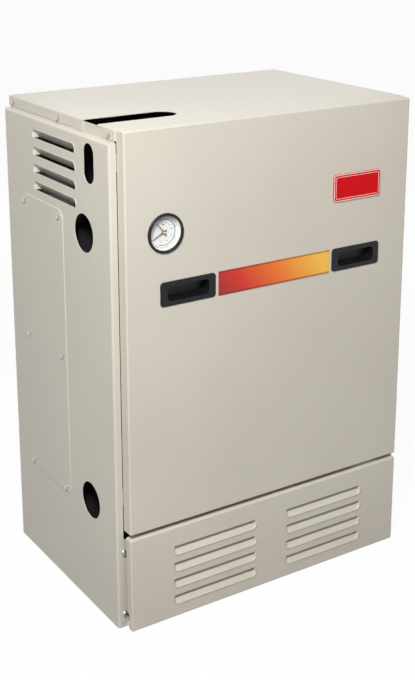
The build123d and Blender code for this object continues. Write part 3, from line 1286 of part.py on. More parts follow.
def make_drain_valve_handle():
    place = (GAUGE_X, RETURN_HEIGHT)
    back = DRAIN_HANDLE_FRONT + DRAIN_HANDLE_THICKNESS
    wheel = deep_rod((DRAIN_HANDLE_FRONT, back), place, DRAIN_HANDLE_RADIUS)
    wheel = fillet(wheel.edges().filter_by(GeomType.CIRCLE), DRAIN_HANDLE_THICKNESS / 3)
    cutter = Cylinder(DRAIN_LOBE_RADIUS, DRAIN_STEM_DEPTH, align=STANDING)
    front = Pos(GAUGE_X, behind(DRAIN_HANDLE_FRONT - 1), RETURN_HEIGHT) * INWARD
    for i in range(DRAIN_HANDLE_LOBES):
        turn = Rot(0, 0, i * 360 / DRAIN_HANDLE_LOBES) * Pos(DRAIN_HANDLE_RADIUS + DRAIN_LOBE_OUTSET, 0, 0)
        wheel -= front * turn * cutter
    return wheel + deep_rod((back, DRAIN_HANDLE_FRONT + DRAIN_STEM_DEPTH - 1), place, DRAIN_STEM_RADIUS)


# Controls

def box_on_panel(x, depth, z, edge):
    box = layer(x, (VESTIBULE_DEPTH - depth, VESTIBULE_DEPTH), z)
    return fillet(box.faces().sort_by(Axis.Y)[0].edges(), edge)


def make_pressure_switch():
    place = (SWITCH_X, SWITCH_HEIGHT)
    front = VESTIBULE_DEPTH - SWITCH_LENGTH
    rim_depths = (front + SWITCH_RIM_FRONT, VESTIBULE_DEPTH - SWITCH_RIM_BACK)
    body = deep_rod(rim_depths, place, SWITCH_RADIUS)
    body += deep_rod((front, VESTIBULE_DEPTH), place, SWITCH_RADIUS * SWITCH_BODY_SHARE)
    return body + deep_rod((front - SWITCH_SPIGOT_LENGTH, front), place, SWITCH_SPIGOT_RADIUS)


def make_control_box():
    box = box_on_panel(CONTROL_BOX_X, CONTROL_BOX_DEPTH, CONTROL_BOX_Z, CONTROL_BOX_EDGE)
    x = (CONTROL_BOX_X[0] + SHEET, CONTROL_BOX_X[1] - SHEET)
    z = (CONTROL_BOX_Z[0] + SHEET, CONTROL_BOX_Z[1] - SHEET)
    return box - layer(x, (VESTIBULE_DEPTH - CONTROL_BOX_DEPTH + SHEET, VESTIBULE_DEPTH + 1), z)


def aquastat_place():
    return (sum(AQUASTAT_X) / 2, sum(AQUASTAT_Z) / 2)


def make_aquastat_case():
    case = box_on_panel(AQUASTAT_X, AQUASTAT_DEPTH, AQUASTAT_Z, AQUASTAT_EDGE)
    front = VESTIBULE_DEPTH - AQUASTAT_DEPTH
    bore = (front - 1, front + AQUASTAT_BORE_DEPTH)
    return case - deep_rod(bore, aquastat_place(), KNOB_STEM_RADIUS + KNOB_CLEARANCE)


def make_aquastat_dial():
    back = VESTIBULE_DEPTH - AQUASTAT_DEPTH - FIT_GAP
    dial = deep_rod((back - AQUASTAT_DIAL_THICKNESS, back), aquastat_place(), AQUASTAT_DIAL_RADIUS)
    dial = fillet(dial.faces().sort_by(Axis.Y)[0].edges(), AQUASTAT_DIAL_EDGE)
    x, z = aquastat_place()
    width, deep = AQUASTAT_GROOVE
    front = back - AQUASTAT_DIAL_THICKNESS
    groove_z = (z, z + 2 * AQUASTAT_DIAL_RADIUS)
    dial -= layer((x - width / 2, x + width / 2), (front - 1, front + deep), groove_z)
    return dial + deep_rod((back, back + AQUASTAT_STEM_LENGTH), aquastat_place(), KNOB_STEM_RADIUS)


def make_ignition_module():
    module = box_on_panel(MODULE_X, MODULE_DEPTH, MODULE_Z, MODULE_EDGE)
    width, reach, height = TERMINAL_SIZE
    bottom = MODULE_Z[0] + TERMINAL_INSET
    depths = (VESTIBULE_DEPTH - MODULE_DEPTH - reach, VESTIBULE_DEPTH - MODULE_DEPTH)
    for i in range(TERMINAL_COUNT):
        x = MODULE_X[0] + TERMINAL_INSET + i * TERMINAL_PITCH
        module += layer((x, x + width), depths, (bottom, bottom + height))
    return module


# Fasteners

def make_screws(places):
    solids = []
    for point, outward in places:
        left = screw(point, outward)
        solids += [left, mirrored(left)]
    return Compound(children=solids)


def make_parts():
    left_panel = make_left_side_panel()
    left_cover = make_left_access_cover()
    sections = section_positions()
    return {
        "base_pan": make_base_pan(),
        "left_side_panel": left_panel,
        "right_side_panel": mirrored(left_panel),
        "top_panel": make_top_panel(),
        "rear_panel": make_rear_panel(),
        "front_door": make_front_door(),
        "lower_front_panel": make_lower_front_panel(),
        "left_access_cover": left_cover,
        "right_access_cover": mirrored(left_cover),
        "right_hole_blank": make_right_hole_blank(),
        "vestibule_panel": make_vestibule_panel(),
        "jacket_insulation": make_insulation(),
        "jacket_screws": make_screws(top_screws + corner_screws + lower_screws + rear_screws),
        "access_cover_screws": make_screws(cover_screws),
        "door_catches": make_door_catches(),
        "left_door_handle": make_handle(-HANDLE_SPREAD),
        "right_door_handle": make_handle(HANDLE_SPREAD),
        "name_plate": make_name_plate(),
        "badge": make_badge(),
        "gauge_bezel": make_gauge_bezel(),
        "gauge_case": make_gauge_case(),
        "gauge_dial": make_gauge_dial(),
        "gauge_glass": make_gauge_glass(),
        "pressure_pointer": make_pointer(PRESSURE_POINTER_FRONT, *PRESSURE_POINTER),
        "temperature_pointer": make_pointer(TEMPERATURE_POINTER_FRONT, *TEMPERATURE_POINTER),
        "left_end_section": make_section(sections[0], -1),
        "middle_sections": make_middle_sections(),
        "right_end_section": make_section(sections[-1], 1),
        "push_nipples": make_push_nipples(),
        "tie_rods": make_tie_rods(),
        "burner_box": make_burner_box(),
        "refractory_board": make_refractory_board(),
        "burner_tubes": make_burner_tubes(),
        "gas_manifold": make_gas_manifold(),
        "burner_orifices": make_burner_orifices(),
        "igniter_and_flame_sensor": make_igniter_and_flame_sensor(),
        "rollout_switch": make_rollout_switch(),
        "rollout_reset_button": make_rollout_reset_button(),
        "gas_valve_body": make_gas_valve_body(),
        "gas_valve_knob": make_gas_valve_knob(),
        "flue_collector": make_flue_collector(),
        "inducer_housing": make_inducer_housing(),
        "inducer_wheel": make_inducer_wheel(),
        "inducer_motor": make_inducer_motor(),
        "flue_collar": make_flue_collar(),
        "supply_riser": make_supply_riser(),
        "circulator_volute": make_circulator_volute(),
        "circulator_impeller": make_circulator_impeller(),
        "circulator_motor": make_circulator_motor(),
        "supply_pipe": make_supply_pipe(),
        "return_pipe": make_return_pipe(),
        "relief_valve_body": make_relief_valve_body(),
        "relief_lever": make_relief_lever(),
        "drain_valve_body": make_drain_valve_body(),
        "drain_valve_handle": make_drain_valve_handle(),
        "pressure_switch": make_pressure_switch(),
        "control_box": make_control_box(),
        "aquastat_case": make_aquastat_case(),
        "aquastat_dial": make_aquastat_dial(),
        "ignition_module": make_ignition_module(),
    }


os.makedirs("parts", exist_ok=True)
for name, part in make_parts().items():
    export_step(part, f"parts/{name}.step")
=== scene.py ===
import math

import bmesh
import bpy
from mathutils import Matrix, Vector


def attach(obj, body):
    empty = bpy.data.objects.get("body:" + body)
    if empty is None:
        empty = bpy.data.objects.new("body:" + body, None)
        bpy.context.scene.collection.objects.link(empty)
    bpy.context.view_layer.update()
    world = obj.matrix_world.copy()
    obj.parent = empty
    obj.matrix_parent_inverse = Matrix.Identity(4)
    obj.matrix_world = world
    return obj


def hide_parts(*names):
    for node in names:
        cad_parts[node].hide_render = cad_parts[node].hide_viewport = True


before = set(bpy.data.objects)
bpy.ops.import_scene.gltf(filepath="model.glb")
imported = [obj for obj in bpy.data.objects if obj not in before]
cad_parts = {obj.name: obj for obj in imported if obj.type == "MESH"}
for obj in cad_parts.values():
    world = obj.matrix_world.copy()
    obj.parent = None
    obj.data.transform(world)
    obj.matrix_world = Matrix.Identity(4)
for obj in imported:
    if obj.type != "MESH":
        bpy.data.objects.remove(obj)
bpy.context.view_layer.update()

# All sizes below are millimetres, as in the part's source
MM = 0.001

# Camera, fitted to the boiler's corners in the photograph
LONG_SIDE_PX = 680
CAMERA_FOCAL_PX = 1222.0
CAMERA_SHIFT = -0.18
CAMERA_PLACE = (-1150.5, -1784.8, 1202.8)
CAMERA_YAW = -32.92
CAMERA_PITCH = 15.14

# Floor and light
FLOOR_REACH = 30000.0
FLOOR_LIGHT = (0.9, 0.9, 0.9, 1.0)
FLOOR_SHADE = (0.86, 0.86, 0.86, 1.0)
FLOOR_BOUNCE = (0.38, 0.37, 0.37, 1.0)
FLOOR_GLOW = 0.955
WHITE = (1.0, 1.0, 1.0, 1.0)
KEY_PLACE = (-1250.0, -1400.0, 2050.0)
KEY_AIM = (-100.0, -100.0, 450.0)
KEY_SIZE = 420.0
KEY_POWER = 63.0
KEY_COLOUR = (1.0, 0.995, 0.97)
FILL_PLACE = (1500.0, -2600.0, 1500.0)
FILL_SIZE = 2200.0
FILL_POWER = 6.0
FILL_COLOUR = (1.0, 0.96, 0.98)
WORLD_LIGHT = 0.19
WORLD_TINT = (1.0, 0.94, 0.97, 1.0)
BACK_PLACE = (1500.0, 2300.0, 550.0)
BACK_SIZE = 1500.0
BACK_POWER = 20.0
BACK_COLOUR = (1.0, 0.98, 0.97)

# Jacket
FACE_Y = -215.5
LOW_DARKENING_HEIGHT = 160.0

# Pressure and temperature gauge
GAUGE_X = -212.0
GAUGE_Z = 683.0
DIAL_Y = FACE_Y + 6.8
PRINT_THICKNESS = 0.06
PRESSURE_SCALE = (129.0, 15.0)
TEMPERATURE_SCALE = (207.0, 337.0)
SCALE_RADIUS = 25.2
SHORT_TICK = 1.6
LONG_TICK = 3.0
BLUE_RADIUS = 21.2
RED_MARK_RADIUS = 12.5
PRESSURE_NUMERALS = ("0", "20", "40", "60", "80")
TEMPERATURE_NUMERALS = ("10", "50", "90", "120")

# Badge and name plate
BADGE_X = 170.3
BADGE_Z = 709.8
BADGE_SIZE = (103.0, 47.5)
BADGE_CORNER = 5.0
BADGE_PROUD = 2.0
PLATE_Z = 583.0
PLATE_SIZE = (227.0, 41.0)

# Insulation blanket inside the jacket
BLANKET_HALF_WIDTH = 230.0
BLANKET_THICKNESS = 15.0
BLANKET_FRONT = -43.5
BLANKET_BACK = 184.3
BLANKET_FOOT = 1.5
BLANKET_TOP = 470.0
BLANKET_CORNER = 22.0
BLANKET_ROWS = 24
BLANKET_SKIN = 4.0
FOIL_THREADS_PER_METRE = 80.0


def srgb(red, green, blue):
    """A colour from 0 to 255, as a screen shows it, in the shader's own numbers."""
    def linear(part):
        share = part / 255
        return share / 12.92 if share <= 0.04045 else ((share + 0.055) / 1.055) ** 2.4
    return (linear(red), linear(green), linear(blue), 1.0)


class Wire:
    """One output of a shader node, which Python's arithmetic works on."""

    def __init__(self, finish, socket):
        self.finish = finish
        self.socket = socket

    def maths(self, operation, first, second):
        return self.finish.node("ShaderNodeMath", {"operation": operation}, {0: first, 1: second})

    def __add__(self, other):
        return self.maths("ADD", self, other)

    __radd__ = __add__

    def __sub__(self, other):
        return self.maths("SUBTRACT", self, other)

    def __rsub__(self, other):
        return self.maths("SUBTRACT", other, self)

    def __mul__(self, other):
        return self.maths("MULTIPLY", self, other)

    __rmul__ = __mul__

    def __truediv__(self, other):
        return self.maths("DIVIDE", self, other)

    def __gt__(self, other):
        return self.maths("GREATER_THAN", self, other)

    def __lt__(self, other):
        return self.maths("LESS_THAN", self, other)

    def fraction(self):
        return self.maths("FRACT", self, 0.0)

    def size(self):
        return self.maths("ABSOLUTE", self, 0.0)

    def at_least(self, other):
        return self.maths("MAXIMUM", self, other)

    def at_most(self, other):
        return self.maths("MINIMUM", self, other)


class Finish:
    """A material and the nodes that give it its look."""

    def __init__(self, name):
        self.material = bpy.data.materials.new("finish_" + name)
        self.material.use_nodes = True
        self.tree = self.material.node_tree
        self.surface = self.tree.nodes["Principled BSDF"]
        self.object_place = None

    def node(self, kind, settings=None, inputs=None, output=0):
        node = self.tree.nodes.new(kind)
        for key, value in (settings or {}).items():
            if key == "stops":
                self.set_stops(node.color_ramp, value)
            else:
                setattr(node, key, value)
        self.feed(node, inputs or {})
        return Wire(self, node.outputs[output])

    def set_stops(self, ramp, stops):
        while len(ramp.elements) < len(stops):
            ramp.elements.new(0.5)
        for element, (place, colour) in zip(ramp.elements, stops):
            element.position = place
            element.color = colour

    def feed(self, node, inputs):
        for key, value in inputs.items():
            if isinstance(value, Wire):
                self.tree.links.new(value.socket, node.inputs[key])
            else:
                node.inputs[key].default_value = value

    def set(self, **inputs):
        """Feeds the surface's own sockets, named in small letters with underscores."""
        names = {key.replace("_", " ").title(): value for key, value in inputs.items()}
        if "Ior" in names:
            names["IOR"] = names.pop("Ior")
        if "Specular Ior Level" in names:
            names["Specular IOR Level"] = names.pop("Specular Ior Level")
        self.feed(self.surface, names)

    def place(self):
        if self.object_place is None:
            self.object_place = self.node("ShaderNodeTexCoord", output=3)
        return self.object_place

    def along(self, axis):
        return self.node("ShaderNodeSeparateXYZ", inputs={0: self.place()}, output=axis)

    def noise(self, size, detail=2.0, stretch=(1.0, 1.0, 1.0)):
        """Soft patches about size millimetres wide, from 0 to 1."""
        where = self.place()
        if stretch != (1.0, 1.0, 1.0):
            where = self.node("ShaderNodeVectorMath", {"operation": "MULTIPLY"}, {0: where, 1: stretch})
        inputs = {"Vector": where, "Scale": 1 / (size * MM), "Detail": detail}
        return self.node("ShaderNodeTexNoise", inputs=inputs)

    def cells(self, size, output=0):
        """Cells about size millimetres wide. Output 0 is the way to their middles and 1 a colour each."""
        inputs = {"Vector": self.place(), "Scale": 1 / (size * MM)}
        return self.node("ShaderNodeTexVoronoi", inputs=inputs, output=output)

    def blend(self, factor, first, second):
        """A colour between first, where factor is 0, and second, where it is 1."""
        return self.node("ShaderNodeMix", {"data_type": "RGBA"}, {0: factor, 6: first, 7: second}, 2)

    def sharpen(self, value, low, high):
        inputs = {"Value": value, "From Min": low, "From Max": high}
        return self.node("ShaderNodeMapRange", {"clamp": True}, inputs)

    def relief(self, height, depth, under=None):
        """Raises the surface by height times depth millimetres."""
        inputs = {"Height": height, "Distance": depth * MM, "Strength": 1.0}
        if under is not None:
            inputs["Normal"] = under
        return self.node("ShaderNodeBump", inputs=inputs)


def mottled(name, light, dark, patch, grain, rough, metallic=0.0, relief=None, stretch=(1.0, 1.0, 1.0)):
    """A finish whose colour and gloss vary softly, with a fine grain on top."""
    skin = Finish(name)
    patches = skin.sharpen(skin.noise(patch, 3.0, stretch), 0.3, 0.7)
    fine = skin.noise(grain, 2.0, stretch)
    skin.colour = skin.blend(patches * 0.65 + fine * 0.35, dark, light)
    smooth, dull = rough
    roughness = smooth + (patches * 0.4 + fine * 0.6) * (dull - smooth)
    skin.set(base_color=skin.colour, roughness=roughness, metallic=metallic)
    if relief is not None:
        size, depth = relief
        skin.set(normal=skin.relief(skin.noise(size, 2.0, stretch), depth))
    return skin


# Finishes

def paint_finish():
    """Champagne powder coat with fine orange peel, patchily darker towards the floor."""
    skin = mottled("jacket_paint", srgb(209, 205, 193), srgb(201, 196, 184), 260, 1.1, (0.36, 0.46),
                   relief=(2.4, 0.02))
    # Darker grey patches below a set height, growing stronger towards the floor
    height = skin.along(2)
    low = (1.0 - height / (LOW_DARKENING_HEIGHT * MM)).at_least(0.0)
    low_darkening = low * skin.noise(45, 4.0) * 0.35
    skin.set(base_color=skin.blend(low_darkening, skin.colour, srgb(168, 158, 150)))
    skin.set(specular_ior_level=0.42)
    return skin.material


def galvanised_finish():
    """Zinc coated sheet with its flower pattern of crystals."""
    skin = mottled("galvanised", srgb(196, 199, 202), srgb(162, 166, 171), 60, 2.0, (0.3, 0.46), 0.55,
                   relief=(1.5, 0.008))
    flowers = skin.cells(11, 1)
    tone = skin.node("ShaderNodeSeparateColor", inputs={0: flowers}, output=0)
    colour = skin.blend(tone * 0.6, skin.colour, srgb(214, 217, 220))
    skin.set(base_color=colour, roughness=0.4 + tone * 0.2)
    return skin.material


def painted_shade_sheet_finish():
    """Near-black sheet for the panel behind the controls, in place of the finish its slot names: painted
    shade, so that the inside seen through the jacket's openings reads dark.
    """
    skin = mottled("painted_shade_sheet", srgb(40, 39, 43), srgb(27, 26, 30), 90, 1.6, (0.6, 0.8),
                   relief=(1.2, 0.01))
    skin.set(specular_ior_level=0.2)
    return skin.material


def zinc_finish():
    skin = mottled("zinc_screw", srgb(222, 222, 216), srgb(186, 187, 184), 5, 0.6, (0.2, 0.36), 0.95,
                   relief=(0.8, 0.01))
    return skin.material


def black_plastic_finish():
    skin = mottled("black_plastic", srgb(22, 21, 25), srgb(12, 11, 15), 30, 0.8, (0.34, 0.48),
                   relief=(0.7, 0.02))
    skin.set(specular_ior_level=0.3)
    return skin.material


def grey_plastic_finish():
    skin = mottled("grey_plastic", srgb(112, 115, 119), srgb(96, 99, 104), 40, 0.8, (0.42, 0.55),
                   relief=(0.7, 0.02))
    return skin.material


def red_plastic_finish():
    skin = mottled("red_plastic", srgb(178, 32, 26), srgb(150, 22, 20), 20, 0.9, (0.32, 0.45),
                   relief=(0.9, 0.015))
    return skin.material


def plate_finish():
    """A bare warm plate that runs from red at the left to yellow at the right."""
    skin = Finish("plate_print")
    width, height = PLATE_SIZE
    across = skin.along(0) / (width * MM) + 0.5
    up = (skin.along(2) - (PLATE_Z - height / 2) * MM) / (height * MM)
    grain = skin.noise(0.9, 1.0)
    warm = skin.node("ShaderNodeValToRGB", {"stops": [
        (0.0, srgb(150, 20, 24)), (0.28, srgb(206, 44, 26)), (0.6, srgb(232, 112, 34)),
        (1.0, srgb(244, 190, 70))]}, {0: across + up * 0.12 + grain * 0.03})
    band = ((up - 0.5).size() > 0.43) * 0.55
    skin.set(base_color=skin.blend(band, warm, srgb(86, 16, 18)), roughness=0.24 + grain * 0.1)
    skin.set(normal=skin.relief(grain, 0.004))
    return skin.material


def badge_finish():
    skin = mottled("badge_red", srgb(214, 9, 20), srgb(200, 6, 15), 25, 0.8, (0.4, 0.5),
                   relief=(1.5, 0.006))
    skin.set(specular_ior_level=0.18)
    return skin.material


def rim_finish():
    """Pale lines round the badge."""
    skin = mottled("badge_rim", srgb(236, 214, 208), srgb(222, 196, 190), 12, 0.5, (0.25, 0.35), 0.2,
                   relief=(1.0, 0.004))
    return skin.material


def dial_finish():
    skin = mottled("gauge_white", srgb(244, 244, 240), srgb(234, 234, 230), 14, 0.5, (0.4, 0.5),
                   relief=(0.6, 0.004))
    return skin.material


def glass_finish():
    """Thin clear pane, mostly see-through, with its sheen from the studio."""
    skin = Finish("gauge_glass")
    smear = skin.noise(9, 3.0)
    skin.set(base_color=srgb(240, 244, 244), roughness=0.03 + smear * 0.05, alpha=0.08 + smear * 0.03)
    return skin.material


def print_finish(name, light, dark):
    skin = mottled(name, light, dark, 4, 0.4, (0.4, 0.5), relief=(0.5, 0.003))
    return skin.material


def cast_iron_finish():
    skin = mottled("cast_iron", srgb(74, 72, 72), srgb(48, 46, 47), 26, 1.6, (0.55, 0.75), 0.35,
                   relief=(1.4, 0.25))
    rust = skin.sharpen(skin.noise(48, 5.0), 0.58, 0.75) * 0.55
    skin.set(base_color=skin.blend(rust, skin.colour, srgb(112, 66, 42)))
    return skin.material


def machined_finish():
    skin = mottled("machined_steel", srgb(198, 198, 200), srgb(164, 165, 168), 20, 0.5, (0.2, 0.34), 1.0,
                   relief=(0.5, 0.01), stretch=(1.0, 1.0, 6.0))
    return skin.material


def foil_finish():
    """Crinkled aluminium foil with the threads of its backing showing through."""
    skin = mottled("foil", srgb(206, 208, 210), srgb(176, 179, 183), 50, 3.0, (0.24, 0.42), 0.9)
    around = (skin.along(0) + skin.along(1)) * FOIL_THREADS_PER_METRE
    upward = skin.along(2) * FOIL_THREADS_PER_METRE
    threads = ((around.fraction() - 0.5).size() > 0.44).at_least((upward.fraction() - 0.5).size() > 0.44)
    crinkle = skin.relief(skin.noise(9, 4.0), 0.6)
    skin.set(normal=skin.relief(threads, 0.15, crinkle))
    return skin.material


def fibre_finish():
    skin = mottled("fibre", srgb(222, 190, 116), srgb(184, 148, 82), 9, 0.7, (0.85, 0.95),
                   relief=(1.2, 0.5), stretch=(1.0, 1.0, 3.0))
    return skin.material


def refractory_finish():
    skin = mottled("refractory", srgb(226, 220, 204), srgb(192, 184, 166), 30, 1.0, (0.85, 0.95),
                   relief=(1.3, 0.3))
    return skin.material


def burner_finish():
    """Aluminised tube, tinted brown and blue where the flame heats it."""
    skin = mottled("burner_steel", srgb(176, 172, 166), srgb(140, 136, 132), 30, 1.0, (0.32, 0.5), 0.9,
                   relief=(1.0, 0.02))
    depth = skin.sharpen(skin.along(1) + (skin.noise(40, 3.0) - 0.5) * 0.05, -0.02, 0.1)
    tint = skin.blend(depth, srgb(166, 138, 106), srgb(84, 82, 106))
    skin.set(base_color=skin.blend(depth * 0.7, skin.colour, tint))
    return skin.material


def pipe_finish():
    """Black steel pipe with its thin varnish and mill scale."""
    skin = mottled("black_pipe", srgb(24, 24, 26), srgb(14, 14, 16), 22, 1.2, (0.5, 0.7), 0.0,
                   relief=(2.0, 0.06))
    rust = skin.sharpen(skin.noise(30, 5.0), 0.62, 0.8) * 0.5
    skin.set(base_color=skin.blend(rust, skin.colour, srgb(104, 66, 46)))
    return skin.material


def brass_finish():
    skin = mottled("brass", srgb(206, 170, 98), srgb(164, 128, 66), 18, 0.8, (0.26, 0.44), 0.95,
                   relief=(0.8, 0.03))
    return skin.material


def aluminium_finish():
    skin = mottled("aluminium", srgb(196, 197, 199), srgb(162, 164, 167), 18, 0.9, (0.42, 0.6), 0.85,
                   relief=(0.9, 0.06))
    return skin.material


def motor_finish():
    """Hammered enamel on the pump."""
    skin = mottled("motor_paint", srgb(52, 84, 74), srgb(38, 66, 58), 30, 1.4, (0.3, 0.42))
    hammer = skin.cells(3.2)
    skin.set(normal=skin.relief(hammer, 0.12))
    return skin.material


def porcelain_finish():
    skin = mottled("porcelain", srgb(238, 234, 224), srgb(222, 216, 202), 12, 0.8, (0.16, 0.3),
                   relief=(1.2, 0.01))
    return skin.material


FINISHES = {
    "jacket_paint": paint_finish(),
    "galvanised": galvanised_finish(),
    "zinc_screw": zinc_finish(),
    "black_plastic": black_plastic_finish(),
    "plate_print": plate_finish(),
    "badge_red": badge_finish(),
    "gauge_white": dial_finish(),
    "gauge_glass": glass_finish(),
    "pointer_black": print_finish("pointer_black", srgb(26, 26, 28), srgb(16, 16, 18)),
    "cast_iron": cast_iron_finish(),
    "machined_steel": machined_finish(),
    "insulation": foil_finish(),
    "refractory": refractory_finish(),
    "burner_steel": burner_finish(),
    "black_pipe": pipe_finish(),
    "brass": brass_finish(),
    "aluminium": aluminium_finish(),
    "motor_paint": motor_finish(),
    "grey_plastic": grey_plastic_finish(),
    "porcelain": porcelain_finish(),
    "red_plastic": red_plastic_finish(),
}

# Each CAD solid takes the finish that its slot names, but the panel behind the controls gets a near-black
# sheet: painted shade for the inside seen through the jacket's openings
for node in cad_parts.values():
    for seat in node.material_slots:
        seat.material = FINISHES[seat.material.name.split(".")[0]]
painted_shade_sheet = painted_shade_sheet_finish()
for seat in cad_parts["vestibule_panel"].material_slots:
    seat.material = painted_shade_sheet


# Pieces

def new_piece(name, form, finish, body, bevel=0.0, smooth=True):
    """Makes a piece from a bmesh in millimetres, and lets it ride on a body."""
    bmesh.ops.recalc_face_normals(form, faces=form.faces)
    bmesh.ops.scale(form, vec=(MM, MM, MM), verts=form.verts)
    for face in form.faces:
        face.smooth = smooth
    mesh = bpy.data.meshes.new(name)
    form.to_mesh(mesh)
    form.free()
    mesh.materials.append(finish)
    piece = bpy.data.objects.new(name, mesh)
    bpy.context.scene.collection.objects.link(piece)
    if bevel:
        rounding = piece.modifiers.new("rounded_edges", "BEVEL")
        rounding.width = bevel * MM
        rounding.segments = 2
        rounding.limit_method = "ANGLE"
    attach(piece, body)
    return piece


def bridge_loops(form, loops, closed):
    """Skins a row of loops of the same length with four-sided faces."""
    for first, second in zip(loops, loops[1:]):
        count = len(first)
        for index in range(count if closed else count - 1):
            following = (index + 1) % count
            form.faces.new((first[index], first[following], second[following], second[index]))


def rounded_outline(width, height, corner, steps=8):
    """Points round a rectangle with round corners, seen from the front."""
    points = []
    middles = [(1, 1), (-1, 1), (-1, -1), (1, -1)]
    for turn, (side, level) in enumerate(middles):
        for step in range(steps + 1):
            angle = math.radians(90 * (turn + step / steps))
            across = side * (width / 2 - corner) + corner * math.cos(angle)
            upward = level * (height / 2 - corner) + corner * math.sin(angle)
            points.append((across, upward))
    return points


def outline_loop(form, outline, x, y, z):
    return [form.verts.new((x + across, y, z + upward)) for across, upward in outline]


def raised_frame(name, centre, size, corner, band, back, front, finish):
    """A narrow raised frame on the door, with four skins: back, outside, front and inside."""
    form = bmesh.new()
    x, z = centre
    width, height = size
    outer = rounded_outline(width, height, corner)
    inner = rounded_outline(width - 2 * band, height - 2 * band, max(corner - band, 0.2))
    loops = [
        outline_loop(form, outer, x, back, z),
        outline_loop(form, outer, x, front, z),
        outline_loop(form, inner, x, front, z),
        outline_loop(form, inner, x, back, z),
    ]
    bridge_loops(form, loops + [loops[0]], closed=True)
    return new_piece(name, form, finish, "door", bevel=0.12, smooth=False)


def make_badge_lines():
    pale = rim_finish()
    front = FACE_Y - BADGE_PROUD
    width, height = BADGE_SIZE
    raised_frame("badge_rim", (BADGE_X, BADGE_Z), (width - 0.6, height - 0.6), BADGE_CORNER, 1.7,
                 front, front - 0.35, pale)
    raised_frame("badge_inset_line", (BADGE_X, BADGE_Z), (width - 9.0, height - 9.0),
                 BADGE_CORNER - 1.5, 1.0, front, front - 0.15, pale)


def dial_point(angle, radius):
    turn = math.radians(angle)
    return (GAUGE_X + radius * math.cos(turn), GAUGE_Z + radius * math.sin(turn))


def add_stroke(form, corners):
    """A thin flat stroke of print on the dial."""
    back = [form.verts.new((x, DIAL_Y, z)) for x, z in corners]
    front = [form.verts.new((x, DIAL_Y - PRINT_THICKNESS, z)) for x, z in corners]
    form.faces.new(back)
    form.faces.new(front)
    bridge_loops(form, [back, front], closed=True)


def add_arc(form, start, end, radius, width, step=3.0):
    count = max(2, round(abs(end - start) / step))
    angles = [start + (end - start) * index / count for index in range(count + 1)]
    for first, second in zip(angles, angles[1:]):
        add_stroke(form, [dial_point(first, radius - width / 2), dial_point(second, radius - width / 2),
                          dial_point(second, radius + width / 2), dial_point(first, radius + width / 2)])


def add_ticks(form, start, end, count, inner, outer, width):
    for index in range(count + 1):
        angle = start + (end - start) * index / count
        turn = math.degrees(width / 2 / outer)
        add_stroke(form, [dial_point(angle - turn, inner), dial_point(angle + turn, inner),
                          dial_point(angle + turn, outer), dial_point(angle - turn, outer)])


def make_numeral(text, angle, radius, height, finish):
    curve = bpy.data.curves.new("dial_number_" + text, "FONT")
    curve.body = text
    curve.size = height * MM
    curve.extrude = PRINT_THICKNESS / 2 * MM
    curve.align_x = "CENTER"
    curve.align_y = "CENTER"
    curve.materials.append(finish)
    piece = bpy.data.objects.new("dial_number_" + text, curve)
    bpy.context.scene.collection.objects.link(piece)
    x, z = dial_point(angle, radius)
    piece.location = Vector((x, DIAL_Y - PRINT_THICKNESS / 2, z)) * MM
    piece.rotation_euler = (math.pi / 2, 0, 0)
    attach(piece, "boiler")


def make_dial_print():
    """Two scales on the dial: pressure over the top and temperature round the bottom."""
    ink = FINISHES["pointer_black"]
    blue = print_finish("blue_ink", srgb(36, 92, 158), srgb(28, 76, 140))
    red = print_finish("red_ink", srgb(206, 30, 34), srgb(186, 22, 28))
    high, right = PRESSURE_SCALE
    low, end = TEMPERATURE_SCALE

    form = bmesh.new()
    add_arc(form, high, right, SCALE_RADIUS, 0.5)
    add_ticks(form, high, right, 20, SCALE_RADIUS - SHORT_TICK, SCALE_RADIUS, 0.28)
    add_ticks(form, high, right, 4, SCALE_RADIUS - LONG_TICK, SCALE_RADIUS, 0.6)
    add_arc(form, low, end, SCALE_RADIUS, 0.5)
    add_ticks(form, low, end, 20, SCALE_RADIUS - SHORT_TICK, SCALE_RADIUS, 0.28)
    add_ticks(form, low, end, 5, SCALE_RADIUS - LONG_TICK, SCALE_RADIUS, 0.6)
    new_piece("dial_scale_black", form, ink, "boiler", smooth=False)

    form = bmesh.new()
    add_arc(form, 112.0, -38.0, BLUE_RADIUS, 1.7)
    add_arc(form, 246.0, 322.0, BLUE_RADIUS, 1.2)
    new_piece("dial_scale_blue", form, blue, "boiler", smooth=False)

    form = bmesh.new()
    add_arc(form, 80.0, 100.0, RED_MARK_RADIUS, 2.2)
    new_piece("dial_mark_red", form, red, "boiler", smooth=False)

    step = (right - high) / (len(PRESSURE_NUMERALS) - 1)
    for index, text in enumerate(PRESSURE_NUMERALS):
        make_numeral(text, high + step * index, 15.6, 3.4, ink)
    step = (end - low) / (len(TEMPERATURE_NUMERALS) - 1)
    for index, text in enumerate(TEMPERATURE_NUMERALS):
        make_numeral(text, low + step * index, 15.4, 3.2, ink)


def blanket_path():
    """The blanket's outer line round the block, from the front left to the front right."""
    corner = BLANKET_CORNER
    half = BLANKET_HALF_WIDTH
    points = []
    straight = BLANKET_BACK - corner - BLANKET_FRONT
    for index in range(11):
        points.append((-half, BLANKET_FRONT + straight * index / 10, -1.0, 0.0))
    for index in range(1, 6):
        angle = math.pi - math.pi / 2 * index / 5
        out_x, out_y = math.cos(angle), math.sin(angle)
        y = BLANKET_BACK - corner + corner * out_y
        points.append((-half + corner + corner * out_x, y, out_x, out_y))
    for index in range(1, 10):
        points.append((-half + corner + (half - corner) * index / 10, BLANKET_BACK, 0.0, 1.0))
    right = [(-x, y, -out_x, out_y) for x, y, out_x, out_y in reversed(points)]
    return points + [(0.0, BLANKET_BACK, 0.0, 1.0)] + right


